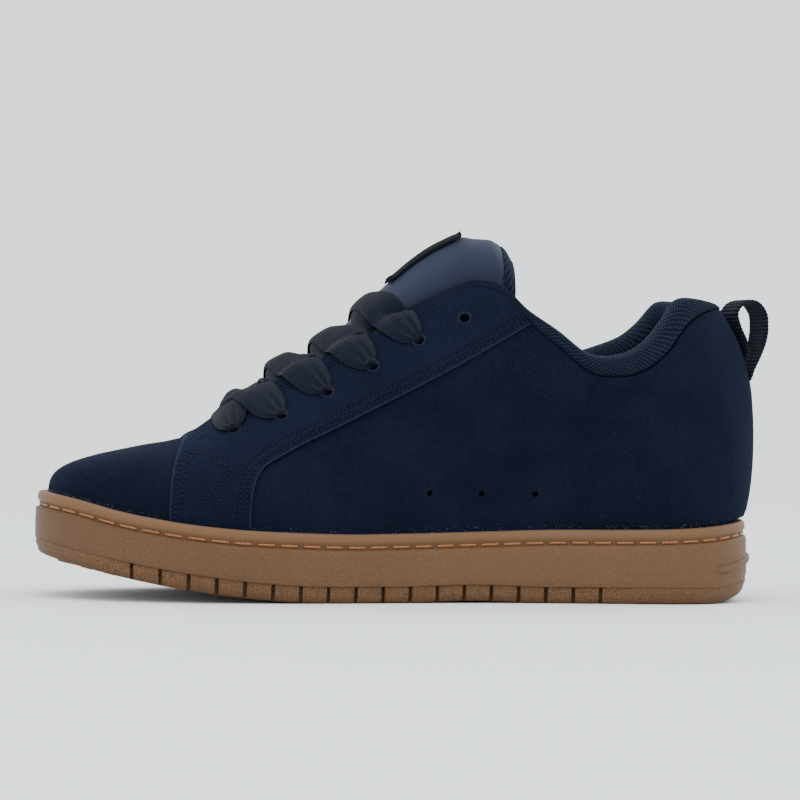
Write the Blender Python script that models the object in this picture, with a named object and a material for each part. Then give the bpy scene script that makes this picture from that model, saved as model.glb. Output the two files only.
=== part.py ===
"""Low skateboarding shoe for the right foot: cup sole, hollow upper, eyestay, padded collar,
puffy tongue, insole, lace rows and heel loop. Metres, +Z up, toe towards -X, medial side -Y."""
import math

import bpy
import bmesh
import numpy as np
from mathutils import Matrix, Vector
from mathutils.bvhtree import BVHTree

# Last and sole
SOLE_LENGTH = 0.302
BALL_WIDTH = 0.113
HEEL_WIDTH = 0.085
TOE_SWING = 0.007
RIM_HEIGHT = 0.0305
TOE_SPRING = 0.0175
ARCH_LIFT = 0.0008
HEEL_LIFT = 0.0032
RIM_WALL = 0.0045
FLOOR_THICKNESS = 0.0085
HEEL_WEDGE = 0.0045
TOE_HEIGHT = 0.060
INSTEP_HEIGHT = 0.130
HEEL_HEIGHT = 0.124

# Walls and fits
CLEARANCE = 0.0003
UPPER_WALL = 0.0020
EYESTAY_WALL = 0.0013
INSOLE_THICKNESS = 0.0045
LINING_WALL = 0.0016
COLLAR_PAD = 0.0130
COLLAR_BAND = 0.0120
COLLAR_DROP = 0.048
TONGUE_CROWN = 0.0240
TONGUE_SWELL = 0.16
TONGUE_PAD = 0.0160

# Sole side: stitch groove, step, side cuts and heel bar
BEAD_HEIGHT = 0.0042
GROOVE_WIDTH = 0.0024
GROOVE_DEPTH = 0.0011
BAND_HEIGHT = 0.0066
CUT_COUNT = 18
CUT_FIRST = 0.038
CUT_PITCH = 0.0114
CUT_WIDTH = 0.0010
CUT_DEPTH = 0.0026
HEEL_BAR_HEIGHT = 0.0135
HEEL_BAR_WIDTH = 0.0030
HEEL_BAR_PROUD = 0.0007

# Holes
EYELET_COUNT = 6
LACED_COUNT = 5
EYELET_FIRST = 0.0810
EYELET_PITCH = 0.0188
EYELET_RADIUS = 0.0023
EYELET_INSET_FRONT = 0.0205
EYELET_INSET_BACK = 0.0135
VENT_XS = (0.160, 0.182, 0.2045)
VENT_HEIGHT = 0.045
VENT_RADIUS = 0.0012

# Lace, label and loop
LACE_WIDTH = 0.0145
LACE_THICKNESS = 0.0017
LACE_NECK = 0.0045
LACE_AXIS_DEPTH = 0.020
BAR_BOW = 0.003
LACE_COLOUR = (0.045, 0.050, 0.065)
LABEL_START = 0.535
LABEL_SPAN = 0.20
LABEL_WIDTH = 0.022
LABEL_SAG = 0.0012
LABEL_THICKNESS = 0.0009
LOOP_WIDTH = 0.012
LOOP_THICKNESS = 0.0015
LOOP_FOOT_DROP = 0.0335
LOOP_SEAM = 0.008
LOOP_RISE = 0.012
LOOP_REACH = 0.018

# Mesh density and welds
STATIONS = 36
WELD = 0.00001


class Sections:
    """A short table with named columns, read anywhere along its first column by smooth curves."""

    def __init__(self, names, rows):
        self.columns = dict(zip(names, np.array(rows, dtype=float).T))
        self.places = self.columns[names[0]]
        self.slopes = {name: np.gradient(self.columns[name], self.places) for name in names}

    def at(self, name, place):
        xs, ys, slopes = self.places, self.columns[name], self.slopes[name]
        place = min(max(place, xs[0]), xs[-1])
        i = min(int(np.searchsorted(xs, place, side="right")) - 1, len(xs) - 2)
        span = xs[i + 1] - xs[i]
        t = (place - xs[i]) / span
        start = (1 + 2 * t) * (1 - t) ** 2 * ys[i] + t * (1 - t) ** 2 * span * slopes[i]
        end = t * t * (3 - 2 * t) * ys[i + 1] + t * t * (t - 1) * span * slopes[i + 1]
        return float(start + end)


# Half widths of the sole as shares of half the ball width and half the heel width
OUTLINE = Sections(("along", "medial", "lateral", "heel"), [
    (0.00, 0.80, 0.78, 0.00),
    (0.12, 0.90, 0.88, 0.00),
    (0.25, 0.96, 1.01, 0.00),
    (0.36, 0.93, 1.06, 0.00),
    (0.50, 0.56, 0.75, 0.33),
    (0.62, 0.21, 0.37, 0.68),
    (0.75, 0.00, 0.07, 0.97),
    (0.88, 0.00, 0.00, 1.00),
    (1.00, 0.00, 0.00, 1.00)])
TOE_ROUND, TOE_POWER = 0.21, 2.25
HEEL_ROUND, HEEL_POWER = 0.145, 2.15

# Top of the cup's rim as shares of its height under the heel
RIM_LINE = Sections(("along", "height"), [
    (0.00, 1.43), (0.05, 1.335), (0.11, 1.19), (0.17, 1.085), (0.25, 0.99), (0.35, 0.937),
    (0.42, 0.921), (0.50, 0.935), (0.60, 0.965), (0.70, 1.00), (0.80, 1.01), (0.88, 1.03),
    (0.94, 1.07), (1.00, 1.14)])

# Top of the upper at each share of the way from toe tip to heel: where it lies along the sole
# and across the ball width, its height as shares of toe, instep and heel heights, the angle at
# which the wall arrives there, and the pulls of the wall's curve at its foot and top. The rows
# past both ends mirror their neighbours, so that toe and heel stay round
TOP_LINE = Sections(("run", "along", "across", "toe", "instep", "heel", "lean", "rise", "reach"), [
    (-0.06, 0.083, 0.000, 0.980, 0.00, 0.000, 13, 0.42, 0.50),
    (0.000, 0.073, 0.000, 0.960, 0.00, 0.000, 15, 0.36, 0.54),
    (0.060, 0.083, 0.000, 0.980, 0.00, 0.000, 13, 0.42, 0.50),
    (0.120, 0.105, 0.000, 1.005, 0.00, 0.000, 6, 0.44, 0.50),
    (0.180, 0.142, 0.000, 1.045, 0.00, 0.000, 3, 0.42, 0.46),
    (0.240, 0.188, 0.000, 1.090, 0.00, 0.000, 2, 0.40, 0.42),
    (0.280, 0.222, 0.000, 1.145, 0.00, 0.000, 4, 0.42, 0.40),
    (0.300, 0.243, 0.000, 0.800, 0.195, 0.000, 6, 0.42, 0.38),
    (0.320, 0.250, 0.043, 0.600, 0.297, 0.000, 10, 0.42, 0.37),
    (0.340, 0.262, 0.092, 0.300, 0.455, 0.000, 20, 0.42, 0.36),
    (0.365, 0.284, 0.125, 0.100, 0.582, 0.000, 31, 0.42, 0.35),
    (0.400, 0.322, 0.142, 0.000, 0.680, 0.000, 36, 0.42, 0.34),
    (0.460, 0.403, 0.158, 0.000, 0.776, 0.000, 40, 0.42, 0.34),
    (0.520, 0.486, 0.178, 0.000, 0.885, 0.000, 46, 0.42, 0.34),
    (0.570, 0.548, 0.197, 0.000, 0.957, 0.000, 53, 0.42, 0.34),
    (0.610, 0.594, 0.213, 0.000, 1.000, 0.000, 60, 0.42, 0.34),
    (0.640, 0.630, 0.232, 0.000, 0.970, 0.014, 66, 0.42, 0.34),
    (0.680, 0.672, 0.264, 0.000, 0.760, 0.130, 72, 0.42, 0.34),
    (0.720, 0.712, 0.292, 0.000, 0.400, 0.428, 76, 0.42, 0.34),
    (0.760, 0.752, 0.312, 0.000, 0.100, 0.665, 78, 0.42, 0.34),
    (0.800, 0.790, 0.317, 0.000, 0.000, 0.757, 78, 0.42, 0.34),
    (0.840, 0.827, 0.307, 0.000, 0.000, 0.776, 77, 0.42, 0.34),
    (0.880, 0.865, 0.277, 0.000, 0.000, 0.842, 75, 0.42, 0.34),
    (0.915, 0.898, 0.232, 0.000, 0.000, 0.942, 72, 0.42, 0.34),
    (0.950, 0.932, 0.160, 0.000, 0.000, 0.990, 68, 0.42, 0.33),
    (0.980, 0.9565, 0.068, 0.000, 0.000, 1.000, 64, 0.42, 0.32),
    (1.000, 0.962, 0.000, 0.000, 0.000, 1.000, 62, 0.42, 0.32),
    (1.020, 0.9565, -0.068, 0.000, 0.000, 1.000, 64, 0.42, 0.32)])

# Up to this run both sides meet on the vamp's ridge
THROAT_RUN = 0.300

# How far the wall swells outwards at its foot, as shares of the rim wall
SWELL = Sections(("run", "foot"), [
    (0.00, 0.00), (0.06, 0.10), (0.12, 0.40), (0.25, 0.50), (0.45, 0.50), (0.70, 0.60),
    (0.85, 1.20), (0.93, 2.10), (1.00, 3.10)])

# Padded collar by the same run: its band above the upper's edge, its pad, its drop inside the
# upper and how far its lip reaches over the upper's edge
COLLAR = Sections(("run", "band", "pad", "drop", "lip"), [
    (0.525, 0.20, 0.04, 0.16, 0.0),
    (0.560, 0.33, 0.11, 0.20, 1.0),
    (0.600, 0.36, 0.18, 0.26, 1.0),
    (0.660, 0.55, 0.40, 0.45, 1.0),
    (0.720, 0.75, 0.78, 0.72, 1.0),
    (0.790, 0.82, 1.00, 0.80, 1.0),
    (0.850, 1.00, 1.00, 0.86, 1.0),
    (0.910, 1.00, 0.96, 1.00, 1.0),
    (0.960, 0.60, 0.85, 1.10, 1.0),
    (1.000, 0.45, 0.80, 1.14, 1.0)])

# Section of the collar on its outer and inner faces: shares of band and drop, shares of pad
COLLAR_OUTER = ((-1.00, 0.00), (-0.45, 0.00), (0.00, 0.00), (0.06, -0.05), (0.45, -0.06),
                (0.82, 0.05), (1.00, 0.40))
COLLAR_INNER = ((-1.00, 0.00), (-0.66, 0.62), (-0.34, 1.00), (-0.08, 1.06), (0.34, 1.00),
                (0.74, 0.86), (0.95, 0.60))

# Tongue by its own length: the upper's run beside it, where its wings start and end on the
# wall, its depth inside the wall, its crown and its pad
TONGUE = Sections(("along", "run", "low", "edge", "depth", "crown", "pad"), [
    (0.00, 0.262, 0.72, 0.90, 0.0032, 0.03, 0.16),
    (0.08, 0.300, 0.72, 0.92, 0.0032, 0.05, 0.24),
    (0.16, 0.342, 0.72, 0.98, 0.0030, 0.12, 0.32),
    (0.25, 0.385, 0.72, 1.00, 0.0030, 0.20, 0.38),
    (0.36, 0.440, 0.73, 1.00, 0.0030, 0.26, 0.42),
    (0.47, 0.490, 0.75, 1.00, 0.0050, 0.76, 0.50),
    (0.57, 0.535, 0.78, 1.00, 0.0086, 1.16, 0.62),
    (0.68, 0.580, 0.80, 1.00, 0.0094, 1.24, 0.74),
    (0.79, 0.618, 0.83, 1.00, 0.0106, 1.13, 0.84),
    (0.88, 0.648, 0.86, 1.00, 0.0124, 1.21, 0.80),
    (0.94, 0.666, 0.88, 1.00, 0.0140, 1.30, 0.56),
    (1.00, 0.678, 0.90, 1.00, 0.0165, 1.26, 0.20)])

# Eyestay outline from the side, along the sole and up: front edge, then rear edge
EYESTAY_FRONT = ((0.176, 0.020), (0.176, 0.042), (0.179, 0.051), (0.188, 0.060), (0.205, 0.068),
                 (0.226, 0.0722))
EYESTAY_REAR = ((0.670, 0.1155), (0.560, 0.0962), (0.420, 0.0740), (0.324, 0.0590),
                (0.303, 0.0550), (0.291, 0.0490), (0.286, 0.0420), (0.286, 0.020))


def underside(x):
    """Height of the sole's underside: toe spring, low arch and rounded heel."""
    share = x / SOLE_LENGTH
    spring = TOE_SPRING * max(0.0, 1 - share / 0.39) ** 1.7
    arch = ARCH_LIFT * math.sin(math.pi * min(max((share - 0.48) / 0.22, 0.0), 1.0)) ** 2
    heel = HEEL_LIFT * (max(0.0, share - 0.93) / 0.07) ** 2
    return spring + arch + heel


def cup_floor(x):
    """Height of the cup's inner floor, thicker under the heel."""
    heel_share = min(max((x / SOLE_LENGTH - 0.35) / 0.4, 0.0), 1.0)
    wedge = HEEL_WEDGE * heel_share * heel_share * (3 - 2 * heel_share)
    return underside(x) * 0.85 + FLOOR_THICKNESS + wedge


def rim_top(x):
    return RIM_HEIGHT * RIM_LINE.at("height", x / SOLE_LENGTH)


def swing(x):
    """The toe's centre line bends to the medial side."""
    return -TOE_SWING * max(0.0, 1 - x / (0.42 * SOLE_LENGTH)) ** 2


def trace_side(side):
    """One side of the sole's outline, evenly readable from toe tip (0) to heel centre (1)."""
    places = (1 - np.cos(np.linspace(0, math.pi, 500))) / 2
    points = []
    for share in places:
        width = (OUTLINE.at("medial" if side < 0 else "lateral", share) * BALL_WIDTH
                 + OUTLINE.at("heel", share) * HEEL_WIDTH) / 2
        toe = max(0.0, 1 - share / TOE_ROUND)
        heel = max(0.0, 1 - (1 - share) / HEEL_ROUND)
        width *= (1 - toe ** TOE_POWER) ** (1 / TOE_POWER) * (1 - heel ** HEEL_POWER) ** (1 / HEEL_POWER)
        points.append((share * SOLE_LENGTH, swing(share * SOLE_LENGTH) + side * width))
    points = np.array(points)
    steps = np.hypot(*np.diff(points, axis=0).T)
    run = np.concatenate(([0.0], np.cumsum(steps)))
    return run / run[-1], points[:, 0], points[:, 1]


TRACES = {-1: trace_side(-1), 1: trace_side(1)}


def side_and_run(around):
    """Around runs 0 to 1 along the medial side, toe to heel, and 1 to 2 back along the lateral."""
    around %= 2.0
    return (-1, around) if around <= 1 else (1, 2 - around)


def outline_point(around):
    side, run = side_and_run(around)
    runs, xs, ys = TRACES[side]
    return Vector((float(np.interp(run, runs, xs)), float(np.interp(run, runs, ys)), 0.0))


def outline_out(around):
    """Level outward direction of the outline."""
    along = outline_point(around + 0.004) - outline_point(around - 0.004)
    return Vector((-along.y, along.x, 0.0)).normalized() * -1


def inset_point(around, inset, height):
    point = outline_point(around) - outline_out(around) * inset
    return Vector((point.x, point.y, height))


def spine_point(around):
    """A point on the sole's centre line, the same for both sides."""
    middle = (outline_point(around).x + outline_point(-around).x) / 2
    x = SOLE_LENGTH * 0.06 + middle * 0.88
    return Vector((x, swing(x), 0.0))


def wall_foot(around):
    """Where the upper leaves the cup."""
    rim = rim_top(outline_point(around).x)
    return inset_point(around, RIM_WALL + CLEARANCE, rim)


def wall_top(around):
    side, run = side_and_run(around)
    x = TOP_LINE.at("along", run) * SOLE_LENGTH
    height = (TOP_LINE.at("toe", run) * TOE_HEIGHT + TOP_LINE.at("instep", run) * INSTEP_HEIGHT
              + TOP_LINE.at("heel", run) * HEEL_HEIGHT)
    return Vector((x, swing(x) + side * max(0.0, TOP_LINE.at("across", run)) * BALL_WIDTH, height))


def wall_curve(around, rise):
    """The upper's outer face: rise 0 at the cup's rim, 1 at the top line, below 0 in the cup."""
    foot, top = wall_foot(around), wall_top(around)
    if rise < 0:
        low = cup_floor(outline_point(around).x) + CLEARANCE
        return Vector((foot.x, foot.y, foot.z + (foot.z - low) * rise))
    run = side_and_run(around)[1]
    out = outline_out(around)
    span = (top - foot).length
    level = Vector((top.x - foot.x, top.y - foot.y, 0.0)) - out * 0.3 * span
    lean = math.radians(TOP_LINE.at("lean", run))
    arrive = level.normalized() * math.cos(lean) + Vector((0, 0, math.sin(lean)))
    low = foot + Vector((0, 0, TOP_LINE.at("rise", run) * span)) + out * SWELL.at("foot", run) * RIM_WALL
    high = top - arrive * TOP_LINE.at("reach", run) * span
    t, s = rise, 1 - rise
    return foot * s ** 3 + low * 3 * s * s * t + high * 3 * s * t * t + top * t ** 3


def wall_out(around, rise):
    """Outward direction of the upper's face."""
    run = side_and_run(around)[1]
    if rise > 0.99 and run <= THROAT_RUN:
        ridge = wall_top(run + 0.02) - wall_top(max(run - 0.02, 0.0))
        return Vector((-ridge.z, 0.0, ridge.x)).normalized()
    rise = min(max(rise, 0.02), 0.98)
    along = wall_curve(around + 0.006, rise) - wall_curve(around - 0.006, rise)
    upward = wall_curve(around, rise + 0.02) - wall_curve(around, rise - 0.02)
    return along.cross(upward).normalized()


def wall_point(around, rise, depth):
    """A point at a depth inside the upper's outer face; a rise over 1 carries on past the edge."""
    if rise < 0:
        return wall_curve(around, rise) - outline_out(around) * depth
    point = wall_curve(around, min(rise, 1.0)) - wall_out(around, rise) * depth
    if rise > 1:
        upward = (wall_curve(around, 1.0) - wall_curve(around, 0.96)).normalized() + Vector((0, 0, 1))
        point += upward.normalized() * (rise - 1)
    return point


def wall_length(around):
    return sum((wall_curve(around, (i + 1) / 8) - wall_curve(around, i / 8)).length for i in range(8))


def tongue_point(along, across, depth):
    """The tongue's outer face: across -1 and 1 are its wing edges, 0 its crown."""
    run = TONGUE.at("run", along)
    low, edge = TONGUE.at("low", along), TONGUE.at("edge", along)
    inside = TONGUE.at("depth", along)
    part = abs(across)
    side = 1 if across < 0 else -1
    if part >= 0.5:
        rise = edge + (low - edge) * (part - 0.5) * 2
        return wall_point(side * run, rise, inside + depth)
    ends = [wall_point(end * run, edge, inside) for end in (1, -1)]
    gap = ends[0] - ends[1]
    crown = max(0.0, TONGUE.at("crown", along) * TONGUE_CROWN - depth)
    part = 2 * across
    turn = part * math.pi / 2
    round_share = min(2 * crown / gap.length, 1.0)
    width = part + (math.sin(turn) - part) * round_share
    height = (1 - part * part) * (1 - round_share) + math.cos(turn) * round_share
    swell = (1 + TONGUE_SWELL * crown / TONGUE_CROWN * math.sin(math.pi * abs(part)) ** 2
             - depth / gap.length)
    point = (ends[0] + ends[1]) / 2 - gap / 2 * width * swell
    point.z += crown * height - depth * (1 - abs(part))
    return point


def shade(name, colour, roughness):
    material = bpy.data.materials.new(name)
    material.use_nodes = True
    shader = material.node_tree.nodes["Principled BSDF"]
    shader.inputs["Base Color"].default_value = (*colour, 1.0)
    shader.inputs["Roughness"].default_value = roughness
    return material


def add_object(name, mesh_data, colour, roughness, smooth=True):
    mesh = bpy.data.meshes.new(name)
    bmesh.ops.recalc_face_normals(mesh_data, faces=mesh_data.faces[:])
    mesh_data.to_mesh(mesh)
    mesh_data.free()
    if smooth:
        mesh.shade_smooth()
        mesh.set_sharp_from_angle(angle=math.radians(40))
    piece = bpy.data.objects.new(name, mesh)
    piece.data.materials.append(shade(name, colour, roughness))
    bpy.context.collection.objects.link(piece)
    return piece


def sheet(columns, rows, place):
    """A grid laid by place(column share, row share), its meeting edges welded. Its fixed
    diagonals let sheets with the same stations lie closely over one another."""
    grid = bmesh.new()
    across = grid.verts.layers.float.new("across")
    upward = grid.verts.layers.float.new("upward")
    bmesh.ops.create_grid(grid, x_segments=columns, y_segments=rows, size=0.5)
    for vert in grid.verts:
        vert[across], vert[upward] = vert.co.x + 0.5, vert.co.y + 0.5
        vert.co = place(vert[across], vert[upward])
    bmesh.ops.triangulate(grid, faces=grid.faces[:], quad_method="FIXED")
    bmesh.ops.remove_doubles(grid, verts=grid.verts[:], dist=WELD)
    return grid


def double(grid, place):
    """Close a sheet to a wall: its copy is laid by place(column share, row share)."""
    across, upward = grid.verts.layers.float["across"], grid.verts.layers.float["upward"]
    copy = bmesh.ops.extrude_face_region(grid, geom=grid.faces[:], use_keep_orig=True)["geom"]
    for item in copy:
        if isinstance(item, bmesh.types.BMVert):
            item.co = place(item[across], item[upward])
    return grid


def cut(piece, cutter, operation="DIFFERENCE"):
    modifier = piece.modifiers.new(cutter.name, "BOOLEAN")
    modifier.object = cutter
    modifier.operation = operation
    modifier.solver = "EXACT"
    cutter.hide_render = True
    cutter.display_type = "WIRE"


def add_cylinders(name, places, radius, half_length, sides):
    """Cutters along the upper's outward direction at each (around, rise)."""
    rods = bmesh.new()
    for around, rise in places:
        turn = wall_out(around, rise).to_track_quat("Z", "Y").to_matrix().to_4x4()
        bmesh.ops.create_cone(rods, cap_ends=True, segments=sides, radius1=radius, radius2=radius,
                              depth=2 * half_length,
                              matrix=Matrix.Translation(wall_curve(around, rise)) @ turn)
    return add_object(name, rods, (0.5, 0.5, 0.5), 0.5, smooth=False)


def find_run(x, rise, side):
    """The place around the upper where its wall, at this rise, stands at x."""
    low, high = 0.0, 1.0
    for _ in range(26):
        middle = (low + high) / 2
        if wall_curve(middle if side < 0 else -middle, rise).x < x:
            low = middle
        else:
            high = middle
    return low if side < 0 else 2 - low


def eyelet_place(number, side):
    """Around and rise of an eyelet: a set distance below the throat's edge."""
    x = EYELET_FIRST + EYELET_PITCH * number
    share = number / (EYELET_COUNT - 1)
    inset = EYELET_INSET_FRONT + (EYELET_INSET_BACK - EYELET_INSET_FRONT) * share
    rise = 0.8
    for _ in range(6):
        around = find_run(x, rise, side)
        rise = 1 - inset / wall_length(around)
    return around, rise


def vent_place(x):
    rise = 0.1
    for _ in range(12):
        around = find_run(x, rise, -1)
        rise += (VENT_HEIGHT - wall_curve(around, rise).z) / wall_length(around)
    return around, rise


# Rows of the upper: in the cup, then up the wall
WALL_RISES = (-1.0, 0.0, 0.11, 0.25, 0.40, 0.55, 0.69, 0.82, 0.92, 1.0)


def build_upper():
    """One hollow wall with an open throat, collar and foot."""
    def place(depth):
        def lay(column, row):
            rise = WALL_RISES[round(row * (len(WALL_RISES) - 1))]
            return wall_point(column * 2, rise, depth)
        return lay
    grid = sheet(2 * STATIONS, len(WALL_RISES) - 1, place(0.0))
    return add_object("upper", double(grid, place(UPPER_WALL)), (0.030, 0.042, 0.085), 0.9)


def build_eyestay():
    """Overlay on the upper, cut to its outline from the side and open at the throat."""
    start, end = math.floor(0.17 * STATIONS), math.ceil(0.72 * STATIONS)
    rises = (0.012,) + WALL_RISES[2:]
    count = 2 * (end - start) + 1

    def place(depth):
        def lay(column, row):
            station = round(column * count) - end
            station += 0 if station <= -start else 2 * start - 1
            return wall_point(station / STATIONS, rises[round(row * (len(rises) - 1))], depth)
        return lay
    grid = sheet(count, len(rises) - 1, place(-CLEARANCE - EYESTAY_WALL))
    piece = add_object("eyestay", double(grid, place(-CLEARANCE)), (0.035, 0.048, 0.095), 0.9)
    outline = [Vector((x * SOLE_LENGTH, -BALL_WIDTH, z)) for x, z in EYESTAY_FRONT]
    outline.append(Vector((0.24 * SOLE_LENGTH, -BALL_WIDTH, INSTEP_HEIGHT * 1.2)))
    outline.append(Vector((0.68 * SOLE_LENGTH, -BALL_WIDTH, INSTEP_HEIGHT * 1.2)))
    outline += [Vector((x * SOLE_LENGTH, -BALL_WIDTH, z)) for x, z in EYESTAY_REAR]
    prism = bmesh.new()
    face = prism.faces.new([prism.verts.new(point) for point in outline])
    swept = bmesh.ops.extrude_face_region(prism, geom=[face], use_keep_orig=True)["geom"]
    bmesh.ops.translate(prism, verts=[v for v in swept if isinstance(v, bmesh.types.BMVert)],
                        vec=(0, 2 * BALL_WIDTH, 0))
    cut(piece, add_object("eyestay_outline", prism, (0.5, 0.5, 0.5), 0.5, smooth=False), "INTERSECT")
    return piece


def build_sole():
    """Cup sole: floor, rim with bead and stitch groove, side wall, step, side cuts, underside."""
    rows = (
        ("floor", "spine", 0.0), ("floor", "half", 0.0), ("floor", RIM_WALL, 0.0),
        ("rim", RIM_WALL, -0.0010), ("rim", RIM_WALL - 0.0012, 0.0), ("rim", 0.0013, 0.0),
        ("rim", 0.0003, -0.0010), ("rim", 0.0, -BEAD_HEIGHT),
        ("rim", GROOVE_DEPTH, -BEAD_HEIGHT - 0.0006),
        ("rim", GROOVE_DEPTH, -BEAD_HEIGHT - GROOVE_WIDTH),
        ("rim", 0.0002, -BEAD_HEIGHT - GROOVE_WIDTH - 0.0007),
        ("under", -0.0004, BAND_HEIGHT + 0.0008), ("under", 0.0005, BAND_HEIGHT),
        ("under", 0.0008, 0.0020), ("under", 0.0030, 0.0),
        ("under", "half", 0.0), ("under", "spine", 0.0))
    heights = {"floor": cup_floor, "rim": rim_top, "under": underside}

    def lay(column, row):
        level, inset, lift = rows[round(row * (len(rows) - 1))]
        around = column * 2
        edge = outline_point(around)
        if isinstance(inset, float):
            return inset_point(around, inset, heights[level](edge.x) + lift)
        rim = inset_point(around, RIM_WALL, 0.0)
        spine = spine_point(around)
        point = spine if inset == "spine" else spine.lerp(rim, 0.5)
        point.z = heights[level](point.x) + lift
        return point
    sole = add_object("cup_sole", sheet(2 * STATIONS, len(rows) - 1, lay), (0.26, 0.135, 0.062), 0.6)

    cutters = bmesh.new()
    for side in (-1, 1):
        for number in range(CUT_COUNT):
            x = CUT_FIRST + CUT_PITCH * number
            run = float(np.interp(x, TRACES[side][1], TRACES[side][0]))
            around = run if side < 0 else 2 - run
            out = outline_out(around)
            turn = Matrix.Rotation(math.atan2(out.y, out.x), 4, "Z")
            centre = outline_point(around) + Vector((0, 0, underside(x) + BAND_HEIGHT / 2 - 0.001))
            size = Matrix.Diagonal((2 * CUT_DEPTH, CUT_WIDTH, BAND_HEIGHT + 0.0018, 1.0))
            bmesh.ops.create_cube(cutters, size=1.0, matrix=Matrix.Translation(centre) @ turn @ size)
    cut(sole, add_object("side_cuts", cutters, (0.5, 0.5, 0.5), 0.5, smooth=False))

    def lay_bar(depth):
        def lay_side(column, row):
            around = 0.925 + 0.15 * column
            fade = math.sin(math.pi * column) ** 0.2 if depth < 0 else 1.0
            height = HEEL_BAR_HEIGHT + HEEL_BAR_WIDTH * row
            return inset_point(around, depth * fade, height)
        return lay_side
    bar = double(sheet(12, 1, lay_bar(-HEEL_BAR_PROUD)), lay_bar(0.0015))
    cut(sole, add_object("heel_bar", bar, (0.5, 0.5, 0.5), 0.5, smooth=False), "UNION")
    return sole


def build_insole():
    """Footbed that lies in the cup inside the upper."""
    inset = RIM_WALL + CLEARANCE + UPPER_WALL + CLEARANCE
    rows = (("spine", 0.0), ("half", 0.0), (inset + 0.0022, 0.0), (inset, -0.0015),
            (inset, 0.0006 - INSOLE_THICKNESS), (inset + 0.0012, -INSOLE_THICKNESS),
            ("half", -INSOLE_THICKNESS), ("spine", -INSOLE_THICKNESS))

    def lay(column, row):
        reach, lift = rows[round(row * (len(rows) - 1))]
        around = column * 2
        spine = spine_point(around)
        if isinstance(reach, float):
            point = inset_point(around, reach, 0.0)
            floor = cup_floor(outline_point(around).x)
        else:
            point = spine if reach == "spine" else spine.lerp(inset_point(around, RIM_WALL, 0.0), 0.5)
            floor = cup_floor(point.x)
        point.z = floor + 2 * CLEARANCE + INSOLE_THICKNESS + lift
        return point
    return add_object("insole", sheet(STATIONS, len(rows) - 1, lay), (0.05, 0.055, 0.07), 0.85)


def build_collar():
    """Padded lining that rolls over the upper's edge and hangs down inside it."""
    start = round(COLLAR.places[0] * STATIONS) / STATIONS

    def place(section, first_depth):
        def lay(column, row):
            share, thick = section[round(row * (len(section) - 1))]
            around = start + (2 - 2 * start) * column
            run = side_and_run(around)[1]
            pad = COLLAR.at("pad", run) * COLLAR_PAD
            if share < 0:
                rise = 1 + share * COLLAR.at("drop", run) * COLLAR_DROP / wall_length(around)
            else:
                rise = 1 + CLEARANCE + share * COLLAR.at("band", run) * COLLAR_BAND
            depth = first_depth + thick * pad
            if share > 0 and section is COLLAR_OUTER:
                depth -= COLLAR.at("lip", run) * min(UPPER_WALL, pad)
            return wall_point(around, rise, depth)
        return lay
    outer = place(COLLAR_OUTER, UPPER_WALL + 2 * CLEARANCE)
    inner = place(COLLAR_INNER, UPPER_WALL + 2 * CLEARANCE + LINING_WALL)
    grid = sheet(2 * (STATIONS - round(start * STATIONS)), len(COLLAR_OUTER) - 1, outer)
    return add_object("collar_lining", double(grid, inner), (0.055, 0.068, 0.115), 0.95)


TONGUE_ALONG = (0.0, 0.08, 0.17, 0.28, 0.38, 0.47, 0.57, 0.68, 0.79, 0.88, 0.95, 1.0)


def build_tongue():
    """Puffy tongue: wings under the eyestays, a crown through the throat and a round free end."""
    def place(side):
        def lay(column, row):
            along = TONGUE_ALONG[round(row * (len(TONGUE_ALONG) - 1))]
            depth = side * TONGUE.at("pad", along) * TONGUE_PAD
            across = 2 * column - 1
            depth *= 1 - 0.75 * abs(across) ** 3
            return tongue_point(along, across, depth)
        return lay
    grid = sheet(14, len(TONGUE_ALONG) - 1, place(0.0))
    return add_object("tongue", double(grid, place(1.0)), (0.085, 0.098, 0.150), 0.75)


def build_label():
    """Blank woven label on the tongue's front."""
    def place(height):
        def lay(column, row):
            along = LABEL_START + LABEL_SPAN * row
            crest = tongue_point(along, 0.0, 0.0)
            ahead = tongue_point(along + 0.02, 0.0, 0.0) - tongue_point(along - 0.02, 0.0, 0.0)
            out = Vector((-ahead.z, 0, ahead.x)).normalized()
            across = LABEL_WIDTH * (column - 0.5)
            sag = LABEL_SAG * (2 * column - 1) ** 2
            return crest + Vector((0, across, 0)) + out * (height - sag)
        return lay
    low = 2 * CLEARANCE
    grid = sheet(4, 6, place(low + LABEL_THICKNESS))
    return add_object("tongue_label", double(grid, place(low)), (0.02, 0.02, 0.024), 0.9)


def build_loop():
    """Webbing loop: up from the collar's back edge, over and down to the heel's outer face."""
    foot_rise = 1 - LOOP_FOOT_DROP / wall_length(1.0)
    end_rise = foot_rise - LOOP_SEAM / wall_length(1.0)
    middle = CLEARANCE + LOOP_THICKNESS / 2

    def centre(share):
        foot = wall_point(1.0, foot_rise, -middle)
        if share > 0.8:
            return foot.lerp(wall_point(1.0, end_rise, -middle), (share - 0.8) / 0.2)
        start = wall_top(1.0) + Vector((middle, 0, middle))
        high = start + Vector((LOOP_REACH * 0.45, 0, LOOP_RISE))
        back = foot + Vector((LOOP_REACH, 0, LOOP_RISE * 2.8))
        t, s = share / 0.8, 1 - share / 0.8
        return start * s ** 3 + high * 3 * s * s * t + back * 3 * s * t * t + foot * t ** 3

    def place(offset):
        def lay(column, row):
            step = centre(min(column + 0.01, 1.0)) - centre(max(column - 0.01, 0.0))
            out = Vector((-step.z, 0, step.x)).normalized()
            return centre(column) + out * offset + Vector((0, (row - 0.5) * LOOP_WIDTH, 0))
        return lay
    grid = sheet(18, 1, place(LOOP_THICKNESS / 2))
    return add_object("heel_loop", double(grid, place(-LOOP_THICKNESS / 2)), (0.05, 0.06, 0.08), 0.8)


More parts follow.
